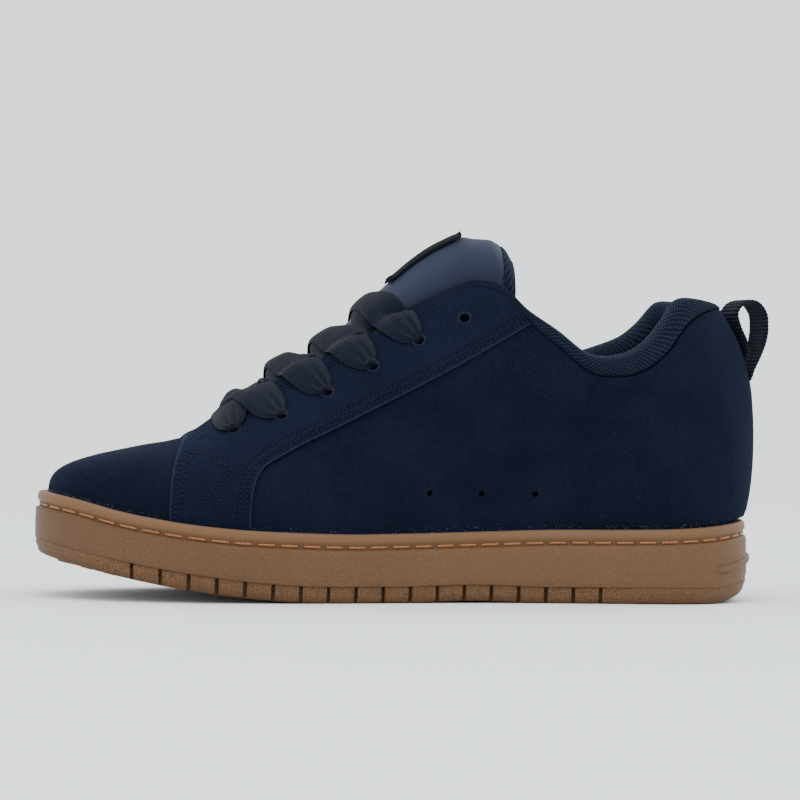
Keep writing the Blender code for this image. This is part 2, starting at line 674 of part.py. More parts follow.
class Throat:
    """Reads how far the eyestay and tongue stand out from a line below the throat."""

    def __init__(self, pieces):
        self.trees = []
        self.cover(*pieces)
        first = wall_curve(*eyelet_place(0, -1))
        last = wall_curve(*eyelet_place(EYELET_COUNT - 1, -1))
        self.ahead = Vector((last.x - first.x, 0, last.z - first.z)).normalized()
        self.up = Vector((-self.ahead.z, 0, self.ahead.x))
        self.start = Vector((first.x, 0, first.z)) - self.up * LACE_AXIS_DEPTH

    def cover(self, *pieces):
        """Later lace rows lie over these pieces too."""
        bpy.context.view_layer.update()
        graph = bpy.context.evaluated_depsgraph_get()
        self.trees += [BVHTree.FromObject(piece, graph) for piece in pieces]

    def ray(self, along, angle):
        out = self.up * math.cos(angle) + Vector((0, math.sin(angle), 0))
        return self.start + self.ahead * along, out

    def reach(self, along, angle):
        """The outermost hit along this ray."""
        axis, out = self.ray(along, angle)
        hits = [tree.ray_cast(axis + out * 0.15, -out)[3] for tree in self.trees]
        return 0.15 - min(hit for hit in hits if hit is not None)

    def locate(self, point):
        """Along and angle of a point."""
        step = point - self.start
        return step.dot(self.ahead), math.atan2(step.y, step.dot(self.up))


def lace_band(throat, route, lift, segments):
    """A flat band over the throat along route(share) -> (along, angle, width)."""
    radius = 0.030

    def spot(column, row):
        here, ahead = route(column), route(min(column + 0.02, 1.0))
        behind = route(max(column - 0.02, 0.0))
        step = Vector((ahead[0] - behind[0], (ahead[1] - behind[1]) * radius)).normalized()
        half = (row - 0.5) * here[2]
        return here[0] + step.y * half, here[1] - step.x * half / radius

    def place(height):
        def lay(column, row):
            near = [min(max(column + step / segments, 0.0), 1.0)
                    for step in (-1, -0.75, -0.5, -0.25, 0, 0.25, 0.5, 0.75, 1)]
            wide = [min(max(row + step, 0.0), 1.0) for step in (-0.4, -0.2, 0, 0.2, 0.4)]
            reach = max(throat.reach(*spot(share, across)) for share in near for across in wide)
            axis, out = throat.ray(*spot(column, row))
            bump = lift * math.sin(math.pi * column) ** 2
            return axis + out * (reach + 1.5 * CLEARANCE + bump + height)
        return lay
    return double(sheet(segments, 2, place(LACE_THICKNESS)), place(0.0))


def build_laces(throat):
    """A straight bar at the lowest eyelets, then a crossing of two bands for each laced pair."""
    def hole(number, side):
        return throat.locate(wall_curve(*eyelet_place(number, side)))

    def width(share):
        return LACE_NECK + (LACE_WIDTH - LACE_NECK) * min(1.0, share * 3.0) ** 0.7

    near, far = hole(0, -1), hole(0, 1)
    stop = (EYELET_RADIUS + 0.0012) / 0.030

    def bar(share):
        angle = near[1] + stop + (far[1] - near[1] - 2 * stop) * share
        along = near[0] + (far[0] - near[0]) * share + BAR_BOW * math.sin(math.pi * share)
        return along, angle, width(min(share, 1 - share))
    throat.cover(add_object("lace_row_1", lace_band(throat, bar, 0.0, 10), LACE_COLOUR, 0.9))

    for number in range(1, LACED_COUNT):
        bands = []
        for side in (-1, 1):
            start, end = hole(number, side), hole(number - 1, -side)

            def route(share, start=start, end=end, side=side):
                part = share * 0.60
                angle = start[1] - side * stop + (end[1] - start[1] + side * stop) * part
                return start[0] + (end[0] - start[0]) * part, angle, width(share)
            lift = 0.0 if side < 0 else LACE_THICKNESS * 0.5
            name = f"lace_row_{number + 1}" if side < 0 else f"lace_crossing_{number + 1}"
            bands.append(add_object(name, lace_band(throat, route, lift, 7), LACE_COLOUR, 0.9))
        cut(bands[0], bands[1], "UNION")
        throat.cover(bands[0])


def stand_on_origin():
    """Move everything so that the origin is at the bottom centre of what is built."""
    graph = bpy.context.evaluated_depsgraph_get()
    pieces = [piece for piece in bpy.data.objects if not piece.hide_render]
    corners = np.array([corner for piece in pieces for corner in piece.evaluated_get(graph).bound_box])
    low, high = corners.min(axis=0), corners.max(axis=0)
    for piece in bpy.data.objects:
        piece.location = (-(low[0] + high[0]) / 2, -(low[1] + high[1]) / 2, -low[2])


def main():
    for old in list(bpy.data.objects):
        bpy.data.objects.remove(old, do_unlink=True)
    upper = build_upper()
    eyestay = build_eyestay()
    build_sole()
    build_insole()
    build_collar()
    tongue = build_tongue()
    build_label()
    build_loop()
    eyelets = [eyelet_place(number, side) for side in (-1, 1) for number in range(EYELET_COUNT)]
    holes = add_cylinders("eyelet_holes", eyelets, EYELET_RADIUS, 0.006, 11)
    cut(upper, holes)
    cut(eyestay, holes)
    vents = [vent_place(x) for x in VENT_XS]
    cut(upper, add_cylinders("vent_holes", vents, VENT_RADIUS, 0.005, 8))
    build_laces(Throat((eyestay, tongue)))
    stand_on_origin()


main()
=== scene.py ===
import math

import bmesh
import bpy
import numpy as np
from mathutils import Matrix, Vector
from mathutils.bvhtree import BVHTree


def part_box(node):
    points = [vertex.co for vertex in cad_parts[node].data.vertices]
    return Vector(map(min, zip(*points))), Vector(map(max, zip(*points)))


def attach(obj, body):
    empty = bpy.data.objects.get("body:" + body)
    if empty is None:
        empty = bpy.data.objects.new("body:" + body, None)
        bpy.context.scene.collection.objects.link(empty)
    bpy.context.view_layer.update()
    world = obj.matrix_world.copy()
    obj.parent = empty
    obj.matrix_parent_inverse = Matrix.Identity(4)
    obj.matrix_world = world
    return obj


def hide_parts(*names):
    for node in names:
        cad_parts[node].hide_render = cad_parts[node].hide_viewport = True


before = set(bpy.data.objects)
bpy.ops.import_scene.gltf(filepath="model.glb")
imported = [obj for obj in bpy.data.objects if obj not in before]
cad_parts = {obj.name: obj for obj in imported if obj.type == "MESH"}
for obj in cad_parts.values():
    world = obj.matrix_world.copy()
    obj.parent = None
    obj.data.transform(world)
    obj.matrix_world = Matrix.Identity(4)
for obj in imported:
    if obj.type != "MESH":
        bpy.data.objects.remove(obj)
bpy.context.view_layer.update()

# Cup sole: one moulding of gum rubber. Its rim rolls up round the upper, a stitch groove runs
# under the rim's bead, and a notched band with fine diamonds meets the ground.
SOLE_LENGTH = 0.302
BALL_WIDTH = 0.113
HEEL_WIDTH = 0.085
TOE_SWING = 0.007
TOE_SPRING = 0.0175
ARCH_LIFT = 0.0008
HEEL_LIFT = 0.0050
RIM_HEIGHT = 0.0305
RIM_WALL = 0.0045
FLOOR_THICKNESS = 0.0085
HEEL_WEDGE = 0.0045
CLEARANCE = 0.0003
BEAD_HEIGHT = 0.0042
GROOVE_WIDTH = 0.0024
GROOVE_DEPTH = 0.0017
BAND_HEIGHT = 0.0066
BAND_FADE = 0.010
BAND_BACK = 0.6
CUT_COUNT = 18
CUT_FIRST = 0.038
CUT_PITCH = 0.0114
LAST_CUT = CUT_FIRST + (CUT_COUNT - 1) * CUT_PITCH
CUT_WIDTH = 0.0013
CUT_DEPTH = 0.0034
HEEL_BAR_LOW = 0.0133
HEEL_BAR_TOP = 0.0154
HEEL_BAR_PROUD = 0.0012
HEEL_BAR_SPAN = 0.125
HEEL_BAR_FADE = 0.004
TREAD_DEPTH = 0.0010
SOLE_GIRTH = 0.090
DIAMOND_RATE, DIAMOND_DEPTH = 4200.0, 0.00026
PEBBLE_SCALE, PEBBLE_DEPTH = 1100.0, 0.00060
STAIN_SCALE = 9.0
SKIN_SCALE, SKIN_DEPTH = 5000.0, 0.00004
MOTTLE_LOW, MOTTLE_HIGH = 0.40, 0.62
GUM_SPREAD = (0.90, 1.18)
GUM = (0.108, 0.051, 0.0220)
GUM_PALE = (0.138, 0.069, 0.0310)
# Tread band colour: paler than the wall, painted light over the shade that falls on the band
GUM_BAND_PAINTED_LIGHT = (0.165, 0.080, 0.0350)
WELD = 0.00001


class Sections:
    """A short table with named columns, read anywhere along its first column by smooth curves."""

    def __init__(self, names, rows):
        self.columns = dict(zip(names, np.array(rows, dtype=float).T))
        self.places = self.columns[names[0]]
        self.slopes = {name: np.gradient(self.columns[name], self.places) for name in names}

    def at(self, name, place):
        xs, ys, slopes = self.places, self.columns[name], self.slopes[name]
        place = np.clip(place, xs[0], xs[-1])
        i = np.clip(np.searchsorted(xs, place, side="right") - 1, 0, len(xs) - 2)
        span = xs[i + 1] - xs[i]
        t = (place - xs[i]) / span
        start = (1 + 2 * t) * (1 - t) ** 2 * ys[i] + t * (1 - t) ** 2 * span * slopes[i]
        end = t * t * (3 - 2 * t) * ys[i + 1] + t * t * (t - 1) * span * slopes[i + 1]
        return start + end


# Half widths of the sole as shares of half the ball width and half the heel width
OUTLINE = Sections(("along", "medial", "lateral", "heel"), [
    (0.00, 0.80, 0.78, 0.00),
    (0.12, 0.90, 0.88, 0.00),
    (0.25, 0.96, 1.01, 0.00),
    (0.36, 0.93, 1.06, 0.00),
    (0.50, 0.56, 0.75, 0.33),
    (0.62, 0.21, 0.37, 0.68),
    (0.75, 0.00, 0.07, 0.97),
    (0.88, 0.00, 0.00, 1.00),
    (1.00, 0.00, 0.00, 1.00)])
TOE_ROUND, TOE_POWER = 0.21, 2.25
HEEL_ROUND, HEEL_POWER = 0.145, 2.15
TRACE_STEPS = 800

# Where the underside's rises, the wedge on the cup's floor and the toe's bend start and end, as
# shares of the sole's length, and how much of the toe's spring the floor follows
SPRING_END, SPRING_POWER = 0.39, 1.7
ARCH_START, ARCH_LENGTH = 0.48, 0.22
HEEL_RISE_START = 0.93
WEDGE_START, WEDGE_END = 0.35, 0.75
FLOOR_SPRING = 0.85
SWING_END = 0.42

# Top of the cup's rim as shares of its height under the heel
RIM_LINE = Sections(("along", "height"), [
    (0.00, 1.43), (0.05, 1.335), (0.11, 1.19), (0.17, 1.085), (0.25, 0.99), (0.35, 0.937),
    (0.42, 0.921), (0.50, 0.935), (0.60, 0.965), (0.70, 1.00), (0.80, 1.01), (0.88, 1.03),
    (0.94, 1.07), (1.00, 1.14)])


def points(x, y, z):
    return np.stack(np.broadcast_arrays(x, y, z), axis=-1).astype(float)


def unit(vectors):
    return vectors / np.maximum(np.linalg.norm(vectors, axis=-1, keepdims=True), 1e-12)


def ease(low, high, value):
    """0 below low, 1 above high, smooth between them."""
    t = np.clip((value - low) / (high - low), 0, 1)
    return t * t * (3 - 2 * t)


def underside(x):
    share = x / SOLE_LENGTH
    spring = TOE_SPRING * np.maximum(0.0, 1 - share / SPRING_END) ** SPRING_POWER
    arch = ARCH_LIFT * np.sin(np.pi * np.clip((share - ARCH_START) / ARCH_LENGTH, 0.0, 1.0)) ** 2
    heel = HEEL_LIFT * (np.maximum(0.0, share - HEEL_RISE_START) / (1 - HEEL_RISE_START)) ** 2
    return spring + arch + heel


def cup_floor(x):
    wedge = HEEL_WEDGE * ease(WEDGE_START, WEDGE_END, x / SOLE_LENGTH)
    return underside(x) * FLOOR_SPRING + FLOOR_THICKNESS + wedge


def rim_top(x):
    return RIM_HEIGHT * RIM_LINE.at("height", x / SOLE_LENGTH)


def swing(x):
    """The toe's centre line bends to the medial side."""
    return -TOE_SWING * np.maximum(0.0, 1 - x / (SWING_END * SOLE_LENGTH)) ** 2


def trace_side(side):
    """One side of the outline: shares of its length from toe tip to heel, xs, ys and its length."""
    share = (1 - np.cos(np.linspace(0, math.pi, TRACE_STEPS))) / 2
    width = (OUTLINE.at("medial" if side < 0 else "lateral", share) * BALL_WIDTH
             + OUTLINE.at("heel", share) * HEEL_WIDTH) / 2
    toe = np.maximum(0.0, 1 - share / TOE_ROUND)
    heel = np.maximum(0.0, 1 - (1 - share) / HEEL_ROUND)
    width *= (1 - toe ** TOE_POWER) ** (1 / TOE_POWER) * (1 - heel ** HEEL_POWER) ** (1 / HEEL_POWER)
    xs = share * SOLE_LENGTH
    ys = swing(xs) + side * width
    run = np.concatenate(([0.0], np.cumsum(np.hypot(np.diff(xs), np.diff(ys)))))
    return run / run[-1], xs, ys, run[-1]


TRACES = {-1: trace_side(-1), 1: trace_side(1)}

# The frame's origin is the middle of the whole shoe, and the tables start at the toe tip
sole_low, sole_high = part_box("cup_sole")
OUTLINE_PROUD = 0.0004
middle_y = (TRACES[-1][2].min() + TRACES[1][2].max()) / 2
SHIFT = np.array((sole_low.x + OUTLINE_PROUD, (sole_low.y + sole_high.y) / 2 - middle_y, 0.0))


def side_and_run(around):
    """Around runs 0 to 1 along the medial side, toe to heel, and 1 to 2 back along the lateral."""
    around = np.asarray(around, dtype=float) % 2.0
    return np.where(around <= 1, -1, 1), np.where(around <= 1, around, 2 - around)


def outline_point(around):
    side, run = side_and_run(around)
    near, far = (TRACES[s] for s in (-1, 1))
    x = np.where(side < 0, np.interp(run, near[0], near[1]), np.interp(run, far[0], far[1]))
    y = np.where(side < 0, np.interp(run, near[0], near[2]), np.interp(run, far[0], far[2]))
    return points(x, y, 0.0)


def outline_out(around, step=0.004):
    """Level outward direction of the outline."""
    along = outline_point(around + step) - outline_point(around - step)
    return unit(points(along[..., 1], -along[..., 0], 0.0))


def inset_point(around, inset, height):
    point = outline_point(around) - outline_out(around) * np.asarray(inset)[..., None]
    point[..., 2] = height
    return point


def spine_point(around, end_gap=0.06):
    """A point on the sole's centre line, the same for both sides and clear of both ends."""
    middle = (outline_point(around)[..., 0] + outline_point(-around)[..., 0]) / 2
    x = SOLE_LENGTH * end_gap + middle * (1 - 2 * end_gap)
    return points(x, swing(x), 0.0)


def sheet(columns, rows, place, width=1.0, height=1.0):
    """A grid laid by place(column shares, row shares), its meeting edges welded. Its UV map
    measures width by height."""
    grid = bmesh.new()
    bmesh.ops.create_grid(grid, x_segments=columns, y_segments=rows, size=0.5)
    across = grid.verts.layers.float.new("across")
    upward = grid.verts.layers.float.new("upward")
    weave = grid.loops.layers.uv.new("weave")
    verts = grid.verts[:]
    shares = np.array([vert.co.xy for vert in verts]) + 0.5
    laid = place(shares[:, 0], shares[:, 1]) + SHIFT
    for vert, share, spot in zip(verts, shares, laid):
        vert[across], vert[upward] = share
        vert.co = spot
    for face in grid.faces:
        for loop in face.loops:
            loop[weave].uv = (loop.vert[across] * width, loop.vert[upward] * height)
    bmesh.ops.remove_doubles(grid, verts=verts, dist=WELD)
    return grid


def shares_of(grid, verts=None):
    """The column and row share of every vertex."""
    across, upward = grid.verts.layers.float["across"], grid.verts.layers.float["upward"]
    verts = grid.verts if verts is None else verts
    return np.array([(vert[across], vert[upward]) for vert in verts]).T


def mark(grid, name, values):
    """Write one number on every vertex, for a material to read."""
    layer = grid.verts.layers.float.new(name)
    for vert, value in zip(grid.verts, values):
        vert[layer] = value


def link(name, data):
    """A new object in the scene."""
    made = bpy.data.objects.new(name, data)
    bpy.context.scene.collection.objects.link(made)
    return made


def shade(colour, share):
    """A colour made darker or lighter."""
    return tuple(channel * share for channel in colour)


def add_piece(name, mesh_data, materials, slot, *nodes, sharp=40, recalculate=True):
    """A finished piece that rides with the shoe in place of the named nodes."""
    mesh = bpy.data.meshes.new(name)
    if recalculate:
        bmesh.ops.recalc_face_normals(mesh_data, faces=mesh_data.faces[:])
    mesh_data.to_mesh(mesh)
    mesh_data.free()
    mesh.shade_smooth()
    mesh.set_sharp_from_angle(angle=math.radians(sharp))
    for material in materials if isinstance(materials, (list, tuple)) else [materials]:
        mesh.materials.append(material)
    piece = link(name, mesh)
    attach(piece, "root")
    if nodes:
        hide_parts(*nodes)
    return piece


class Finish:
    """A node material: its shader, and short calls for the nodes that feed it."""

    def __init__(self, name, roughness, **sockets):
        self.material = bpy.data.materials.new(name)
        self.material.use_nodes = True
        self.shader = self.material.node_tree.nodes["Principled BSDF"]
        self.shader.inputs["Roughness"].default_value = roughness
        for socket, value in sockets.items():
            self.shader.inputs[socket.replace("_", " ")].default_value = value

    def node(self, kind, values=None, output=0, **settings):
        """A new node's output: values go to its inputs, as sockets to link or as plain values."""
        node = self.material.node_tree.nodes.new(kind)
        for setting, value in settings.items():
            setattr(node, setting, value)
        for key, value in (values or {}).items():
            if isinstance(value, bpy.types.NodeSocket):
                self.material.node_tree.links.new(value, node.inputs[key])
            else:
                node.inputs[key].default_value = value
        return node.outputs[output]

    def math(self, operation, first, second=0.0, clamp=False):
        return self.node("ShaderNodeMath", {0: first, 1: second}, operation=operation, use_clamp=clamp)

    def product(self, first, second, clamp=False):
        return self.math("MULTIPLY", first, second, clamp)

    def wave(self, measure, rate):
        """A sine wave over a measure, at so many radians a metre."""
        return self.math("SINE", self.product(measure, rate))

    def place(self):
        return self.node("ShaderNodeTexCoord", output="Object")

    def weave(self):
        """The UV map's two measures."""
        both = self.node("ShaderNodeUVMap", uv_map="weave")
        parts = self.node("ShaderNodeSeparateXYZ", {0: both}).node
        return parts.outputs[0], parts.outputs[1]

    def marked(self, name):
        return self.node("ShaderNodeAttribute", output="Fac", attribute_name=name)

    def noise(self, scale, detail=3.0, rough=0.5):
        return self.node("ShaderNodeTexNoise", {"Vector": self.place(), "Scale": scale, "Detail": detail,
                                                "Roughness": rough}, output="Fac")

    def steps(self, value, low, high, clamp=True):
        """Stretch a value so that low is 0 and high is 1."""
        return self.node("ShaderNodeMapRange", {"Value": value, "From Min": low, "From Max": high},
                         clamp=clamp)

    def blend(self, share, first, second):
        """Mix two colours, each a socket or three numbers."""
        first, second = ((*c, 1.0) if isinstance(c, tuple) else c for c in (first, second))
        mixed = self.node("ShaderNodeMix", {0: share, 6: first, 7: second}, data_type="RGBA")
        return mixed.node.outputs[2]

    def feed(self, socket, value):
        self.material.node_tree.links.new(value, self.shader.inputs[socket])

    def paint(self, share, first, second):
        """Colour the surface by mixing two colours."""
        self.feed("Base Color", self.blend(share, first, second))

    def bump(self, *layers):
        """Stack relief layers, each a height and its depth in metres."""
        normal = None
        for height, depth in layers:
            values = {"Height": height, "Distance": depth, "Strength": 1.0}
            if normal is not None:
                values["Normal"] = normal
            normal = self.node("ShaderNodeBump", values)
        self.feed("Normal", normal)


# The sole's section from the cup's middle over the rim to the underside's middle: what the height
# is measured from, how far in from the outline, how high, and the zone for the finish
CUP, WALL, BAND, TREAD = range(4)
SOLE_SECTION = (
    ("floor", "spine", 0.0, CUP), ("floor", "half", 0.0, CUP), ("floor", RIM_WALL, 0.0, CUP),
    ("rim", RIM_WALL, -0.0016, CUP), ("rim", RIM_WALL - 0.0003, -0.0007, CUP),
    ("rim", RIM_WALL - 0.0010, -0.0001, CUP), ("rim", 0.0028, 0.0, CUP), ("rim", 0.0020, -0.0001, CUP),
    ("rim", 0.0013, -0.0004, CUP), ("rim", 0.0008, -0.0010, CUP), ("rim", 0.0006, -0.0018, CUP),
    ("rim", 0.0005, -0.0028, CUP), ("rim", 0.0007, -BEAD_HEIGHT + 0.0005, CUP),
    ("rim", 0.0011, -BEAD_HEIGHT, CUP), ("rim", GROOVE_DEPTH, -BEAD_HEIGHT - 0.0007, WALL),
    ("rim", GROOVE_DEPTH, -BEAD_HEIGHT - GROOVE_WIDTH + 0.0004, WALL),
    ("rim", 0.0007, -BEAD_HEIGHT - GROOVE_WIDTH, WALL),
    ("rim", 0.0001, -BEAD_HEIGHT - GROOVE_WIDTH - 0.0004, WALL),
    ("rim", -0.0001, -BEAD_HEIGHT - GROOVE_WIDTH - 0.0012, WALL),
    ("under", -0.0002, 0.0192, WALL), ("under", -0.0003, 0.0156, WALL), ("under", -0.0003, 0.0152, WALL),
    ("under", -0.0004, 0.0143, WALL), ("under", -0.0004, 0.0134, WALL), ("under", -0.0004, 0.0130, WALL),
    ("under", -0.0004, 0.0098, WALL), ("under", -0.0004, BAND_HEIGHT + 0.0009, WALL),
    ("under", -0.0002, BAND_HEIGHT + 0.0004, WALL), ("under", 0.0005, BAND_HEIGHT + 0.00015, BAND),
    ("under", 0.0005, BAND_HEIGHT, BAND), ("under", 0.0006, 0.0045, BAND), ("under", 0.0007, 0.0028, BAND),
    ("under", 0.0010, 0.0016, BAND), ("under", 0.0016, 0.0007, BAND), ("under", 0.0026, 0.00015, BAND),
    ("under", 0.0036, 0.0, BAND), ("under", 0.0058, 0.0, TREAD), ("under", 0.0062, TREAD_DEPTH, TREAD),
    ("under", "half", TREAD_DEPTH, TREAD), ("under", "spine", TREAD_DEPTH, TREAD))
SOLE_STATIONS = 480

# Stations at a side cut, in half its width from its middle: those at its edges, how near the
# others may come, and how far the cut's floor goes
CUT_EDGES = (-1.25, -1.0, 1.0, 1.25)
CUT_CLEAR = 1.8
CUT_FLOOR = 1.1

cut_places, cut_reaches = [], []
for side, (runs, xs, ys, length) in TRACES.items():
    cut_runs = np.interp(CUT_FIRST + CUT_PITCH * np.arange(CUT_COUNT), xs, runs)
    cut_places += list(cut_runs if side < 0 else 2 - cut_runs)
    cut_reaches += [CUT_WIDTH / 2 / length] * CUT_COUNT
cut_places, cut_reaches = np.array(cut_places), np.array(cut_reaches)


def cut_share(around):
    """How many half widths away the nearest side cut is."""
    return (np.abs(np.asarray(around)[..., None] - cut_places) / cut_reaches).min(axis=-1)


even = np.arange(SOLE_STATIONS + 1) * 2 / SOLE_STATIONS
edges = [cut_places + cut_reaches * step for step in CUT_EDGES]
sole_places = np.sort(np.concatenate([even[cut_share(even) > CUT_CLEAR]] + edges))


def lay_sole(column, row):
    around = sole_places[np.round(column * (len(sole_places) - 1)).astype(int)]
    step = np.round(row * (len(SOLE_SECTION) - 1)).astype(int)
    edge = outline_point(around)
    rim, spine = inset_point(around, RIM_WALL, 0.0), spine_point(around)
    inner = {"spine": spine, "half": (spine + rim) / 2}
    levels = {"floor": cup_floor, "rim": rim_top, "under": underside}
    band_step = (ease(CUT_FIRST - BAND_FADE, CUT_FIRST, edge[:, 0])
                 * ease(LAST_CUT + 2 * BAND_FADE, LAST_CUT, edge[:, 0]))
    heel_bar = HEEL_BAR_PROUD * ease(HEEL_BAR_SPAN, HEEL_BAR_SPAN - HEEL_BAR_FADE, np.abs(around - 1))
    laid = np.zeros((len(around), 3))
    for number, (level, inset, lift, zone) in enumerate(SOLE_SECTION):
        here = step == number
        if isinstance(inset, str):
            spot = inner[inset][here]
        else:
            cut = (cut_share(around[here]) < CUT_FLOOR) & (lift <= BAND_HEIGHT) & (zone == BAND)
            if zone == BAND and lift > BAND_HEIGHT * BAND_BACK:
                inset = inset * band_step[here]
            inset = np.where(cut, np.maximum(inset, CUT_DEPTH), inset)
            barred = level == "under" and HEEL_BAR_LOW < lift < HEEL_BAR_TOP
            inset = inset - heel_bar[here] * barred
            spot = inset_point(around[here], inset, 0.0)
        across = edge[here] if not isinstance(inset, str) else spot
        spot[:, 2] = levels[level](across[:, 0]) + lift
        laid[here] = spot
    return laid


gum = Finish("gum_rubber", 0.55, Specular_IOR_Level=0.25)
u, v = gum.weave()
band = gum.steps(gum.math("ABSOLUTE", gum.math("SUBTRACT", gum.marked("zone"), BAND)), 0.6, 0.3)
wall = gum.steps(gum.marked("zone"), 0.4, 0.9)
lattice = gum.product(gum.wave(gum.math("ADD", u, v), DIAMOND_RATE),
                      gum.wave(gum.math("SUBTRACT", u, v), DIAMOND_RATE))
pebble = gum.noise(PEBBLE_SCALE, 3.0)
# The mottle mixes broad stains, which are the rubber's own, with the pebbles: pebble pits are painted darker
# and their tops paler, as painted shade and highlight.
mottle = gum.math("ADD", gum.product(gum.noise(STAIN_SCALE, 4.0), 0.5), gum.product(pebble, 0.5))
gum_colour = gum.blend(gum.steps(mottle, MOTTLE_LOW, MOTTLE_HIGH),
                       *(gum.blend(wall, GUM_PALE, shade(GUM, share)) for share in GUM_SPREAD))
# The tread band is painted paler than the wall: painted light that lifts the shade falling on it low by the
# floor.
gum.paint(gum.product(band, 0.85), gum_colour, GUM_BAND_PAINTED_LIGHT)
gum.bump((gum.product(lattice, band), DIAMOND_DEPTH), (gum.product(pebble, wall), PEBBLE_DEPTH),
         (gum.noise(SKIN_SCALE, 2.0), SKIN_DEPTH))

outline_length = TRACES[-1][3] + TRACES[1][3]
grid = sheet(len(sole_places) - 1, len(SOLE_SECTION) - 1, lay_sole, outline_length, SOLE_GIRTH)
rows = np.round(shares_of(grid)[1] * (len(SOLE_SECTION) - 1)).astype(int)
mark(grid, "zone", [SOLE_SECTION[row][3] for row in rows])
add_piece("cup_sole_rubber", grid, gum.material, "gum_rubber", "cup_sole", sharp=32)

# Tread: low diamond pads of the same rubber, moulded with the sole over its whole underside
PAD_PITCH = 0.0062
PAD_RADIUS = 0.0039
PAD_FLARE = 0.86
PAD_SQUASH = 0.72
PAD_HEIGHT = TREAD_DEPTH * 1.2
PAD_MARGIN = 0.0100

pads = bmesh.new()
for row in range(int(BALL_WIDTH * 2 / PAD_PITCH)):
    y = (row - BALL_WIDTH / PAD_PITCH) * PAD_PITCH
    for step in range(int(SOLE_LENGTH / PAD_PITCH)):
        x = (step + 0.5 * (row % 2)) * PAD_PITCH
        near, far = (np.interp(x, TRACES[side][1], TRACES[side][2]) for side in (-1, 1))
        if not near + PAD_MARGIN < y < far - PAD_MARGIN or not PAD_MARGIN < x < SOLE_LENGTH - PAD_MARGIN:
            continue
        slope = float(underside(x + 0.001) - underside(x - 0.001)) / 0.002
        spot = Vector((x, y, float(underside(x)) + PAD_HEIGHT / 2)) + Vector(SHIFT)
        bmesh.ops.create_cone(pads, cap_ends=True, segments=4, radius1=PAD_RADIUS * PAD_FLARE,
                              radius2=PAD_RADIUS, depth=PAD_HEIGHT,
                              matrix=Matrix.Translation(spot) @ Matrix.Rotation(-math.atan(slope), 4, "Y")
                              @ Matrix.Diagonal((1.0, PAD_SQUASH, 1.0, 1.0)))
add_piece("tread_pads", pads, gum.material, "gum_rubber", "cup_sole", sharp=30)

# Sole thread: one waxed thread in the groove, in long stitches that dive at both ends
THREAD_PITCH = 0.0095
THREAD_LENGTH = 0.0091
THREAD_RADIUS = 0.00056
THREAD_SUNK = 0.5
THREAD_FLAT = 0.9
TWIST_RATE, TWIST_DEPTH = 5200.0, 0.00016
THREAD_DIVE, DIVE_FULL = 0.34, 0.48
THREAD = (0.430, 0.165, 0.055)
THREAD_END_SHADE = (0.030, 0.011, 0.004)


def absorb(whole, part):
    """Add one mesh to another and drop it."""
    passing = bpy.data.meshes.new("passing")
    part.to_mesh(passing)
    whole.from_mesh(passing)
    part.free()
    bpy.data.meshes.remove(passing)


thread = Finish("sole_thread", 0.38, Specular_IOR_Level=0.45)
u, v = thread.weave()
turned = thread.math("ADD", thread.product(u, TWIST_RATE), thread.product(v, 2 * math.pi))
twist = thread.math("SINE", turned)
near_end = thread.math("ABSOLUTE", thread.math("SUBTRACT", u, THREAD_LENGTH / 2))
# Along the twist the thread is painted darker in the grooves and paler on the plies, as painted shade and
# highlight.
twist_shaded_strand = thread.blend(thread.steps(twist, -0.6, 0.9), shade(THREAD, 0.5), THREAD)
# Each stitch is painted darker towards both ends, where it dives into the groove: painted shade.
shaded_end = thread.steps(near_end, THREAD_LENGTH * THREAD_DIVE, THREAD_LENGTH * DIVE_FULL)
thread.paint(shaded_end, twist_shaded_strand, THREAD_END_SHADE)
thread.bump((twist, TWIST_DEPTH))

stitch_count = round(outline_length / THREAD_PITCH)
stitches = bmesh.new()
for number in range(stitch_count):
    start = number / stitch_count * 2
    span = THREAD_LENGTH / outline_length * 2

    def lay_stitch(column, row):
        around = start + span * column
        swell = np.clip(1 - np.abs(2 * column - 1) ** 5, 0, 1) ** 0.5
        turn = 2 * np.pi * row
        height = rim_top(outline_point(around)[:, 0]) - BEAD_HEIGHT - GROOVE_WIDTH / 2
        rise = THREAD_RADIUS * swell * np.sin(turn)
        proud = THREAD_FLAT * swell - THREAD_SUNK + THREAD_FLAT * swell * np.cos(turn)
        return inset_point(around, GROOVE_DEPTH - THREAD_RADIUS * proud, height + rise)
    absorb(stitches, sheet(12, 8, lay_stitch, THREAD_LENGTH, 1.0))
add_piece("sole_thread", stitches, thread.material, "gum_rubber", sharp=60)

# Insole: a foam footbed covered in brushed knit, dropped into the cup inside the upper
UPPER_WALL = 0.0020
INSOLE_THICKNESS = 0.0045
INSOLE_GIRTH = 0.1
PILE_SCALE, BRUSH_SCALE, BRUSH_DEPTH = 1800.0, 2600.0, 0.0003
FOOTBED_DARK = (0.028, 0.032, 0.045)
FOOTBED_LIT = (0.050, 0.056, 0.075)
INSOLE_INSET = RIM_WALL + 2 * CLEARANCE + UPPER_WALL
INSOLE_SECTION = (
    ("spine", 0.0), ("half", 0.0), (INSOLE_INSET + 0.006, 0.0), (INSOLE_INSET + 0.0022, -0.0001),
    (INSOLE_INSET + 0.0008, -0.0006), (INSOLE_INSET, -0.0016), (INSOLE_INSET, 0.0010 - INSOLE_THICKNESS),
    (INSOLE_INSET + 0.0012, -INSOLE_THICKNESS), ("half", -INSOLE_THICKNESS), ("spine", -INSOLE_THICKNESS))


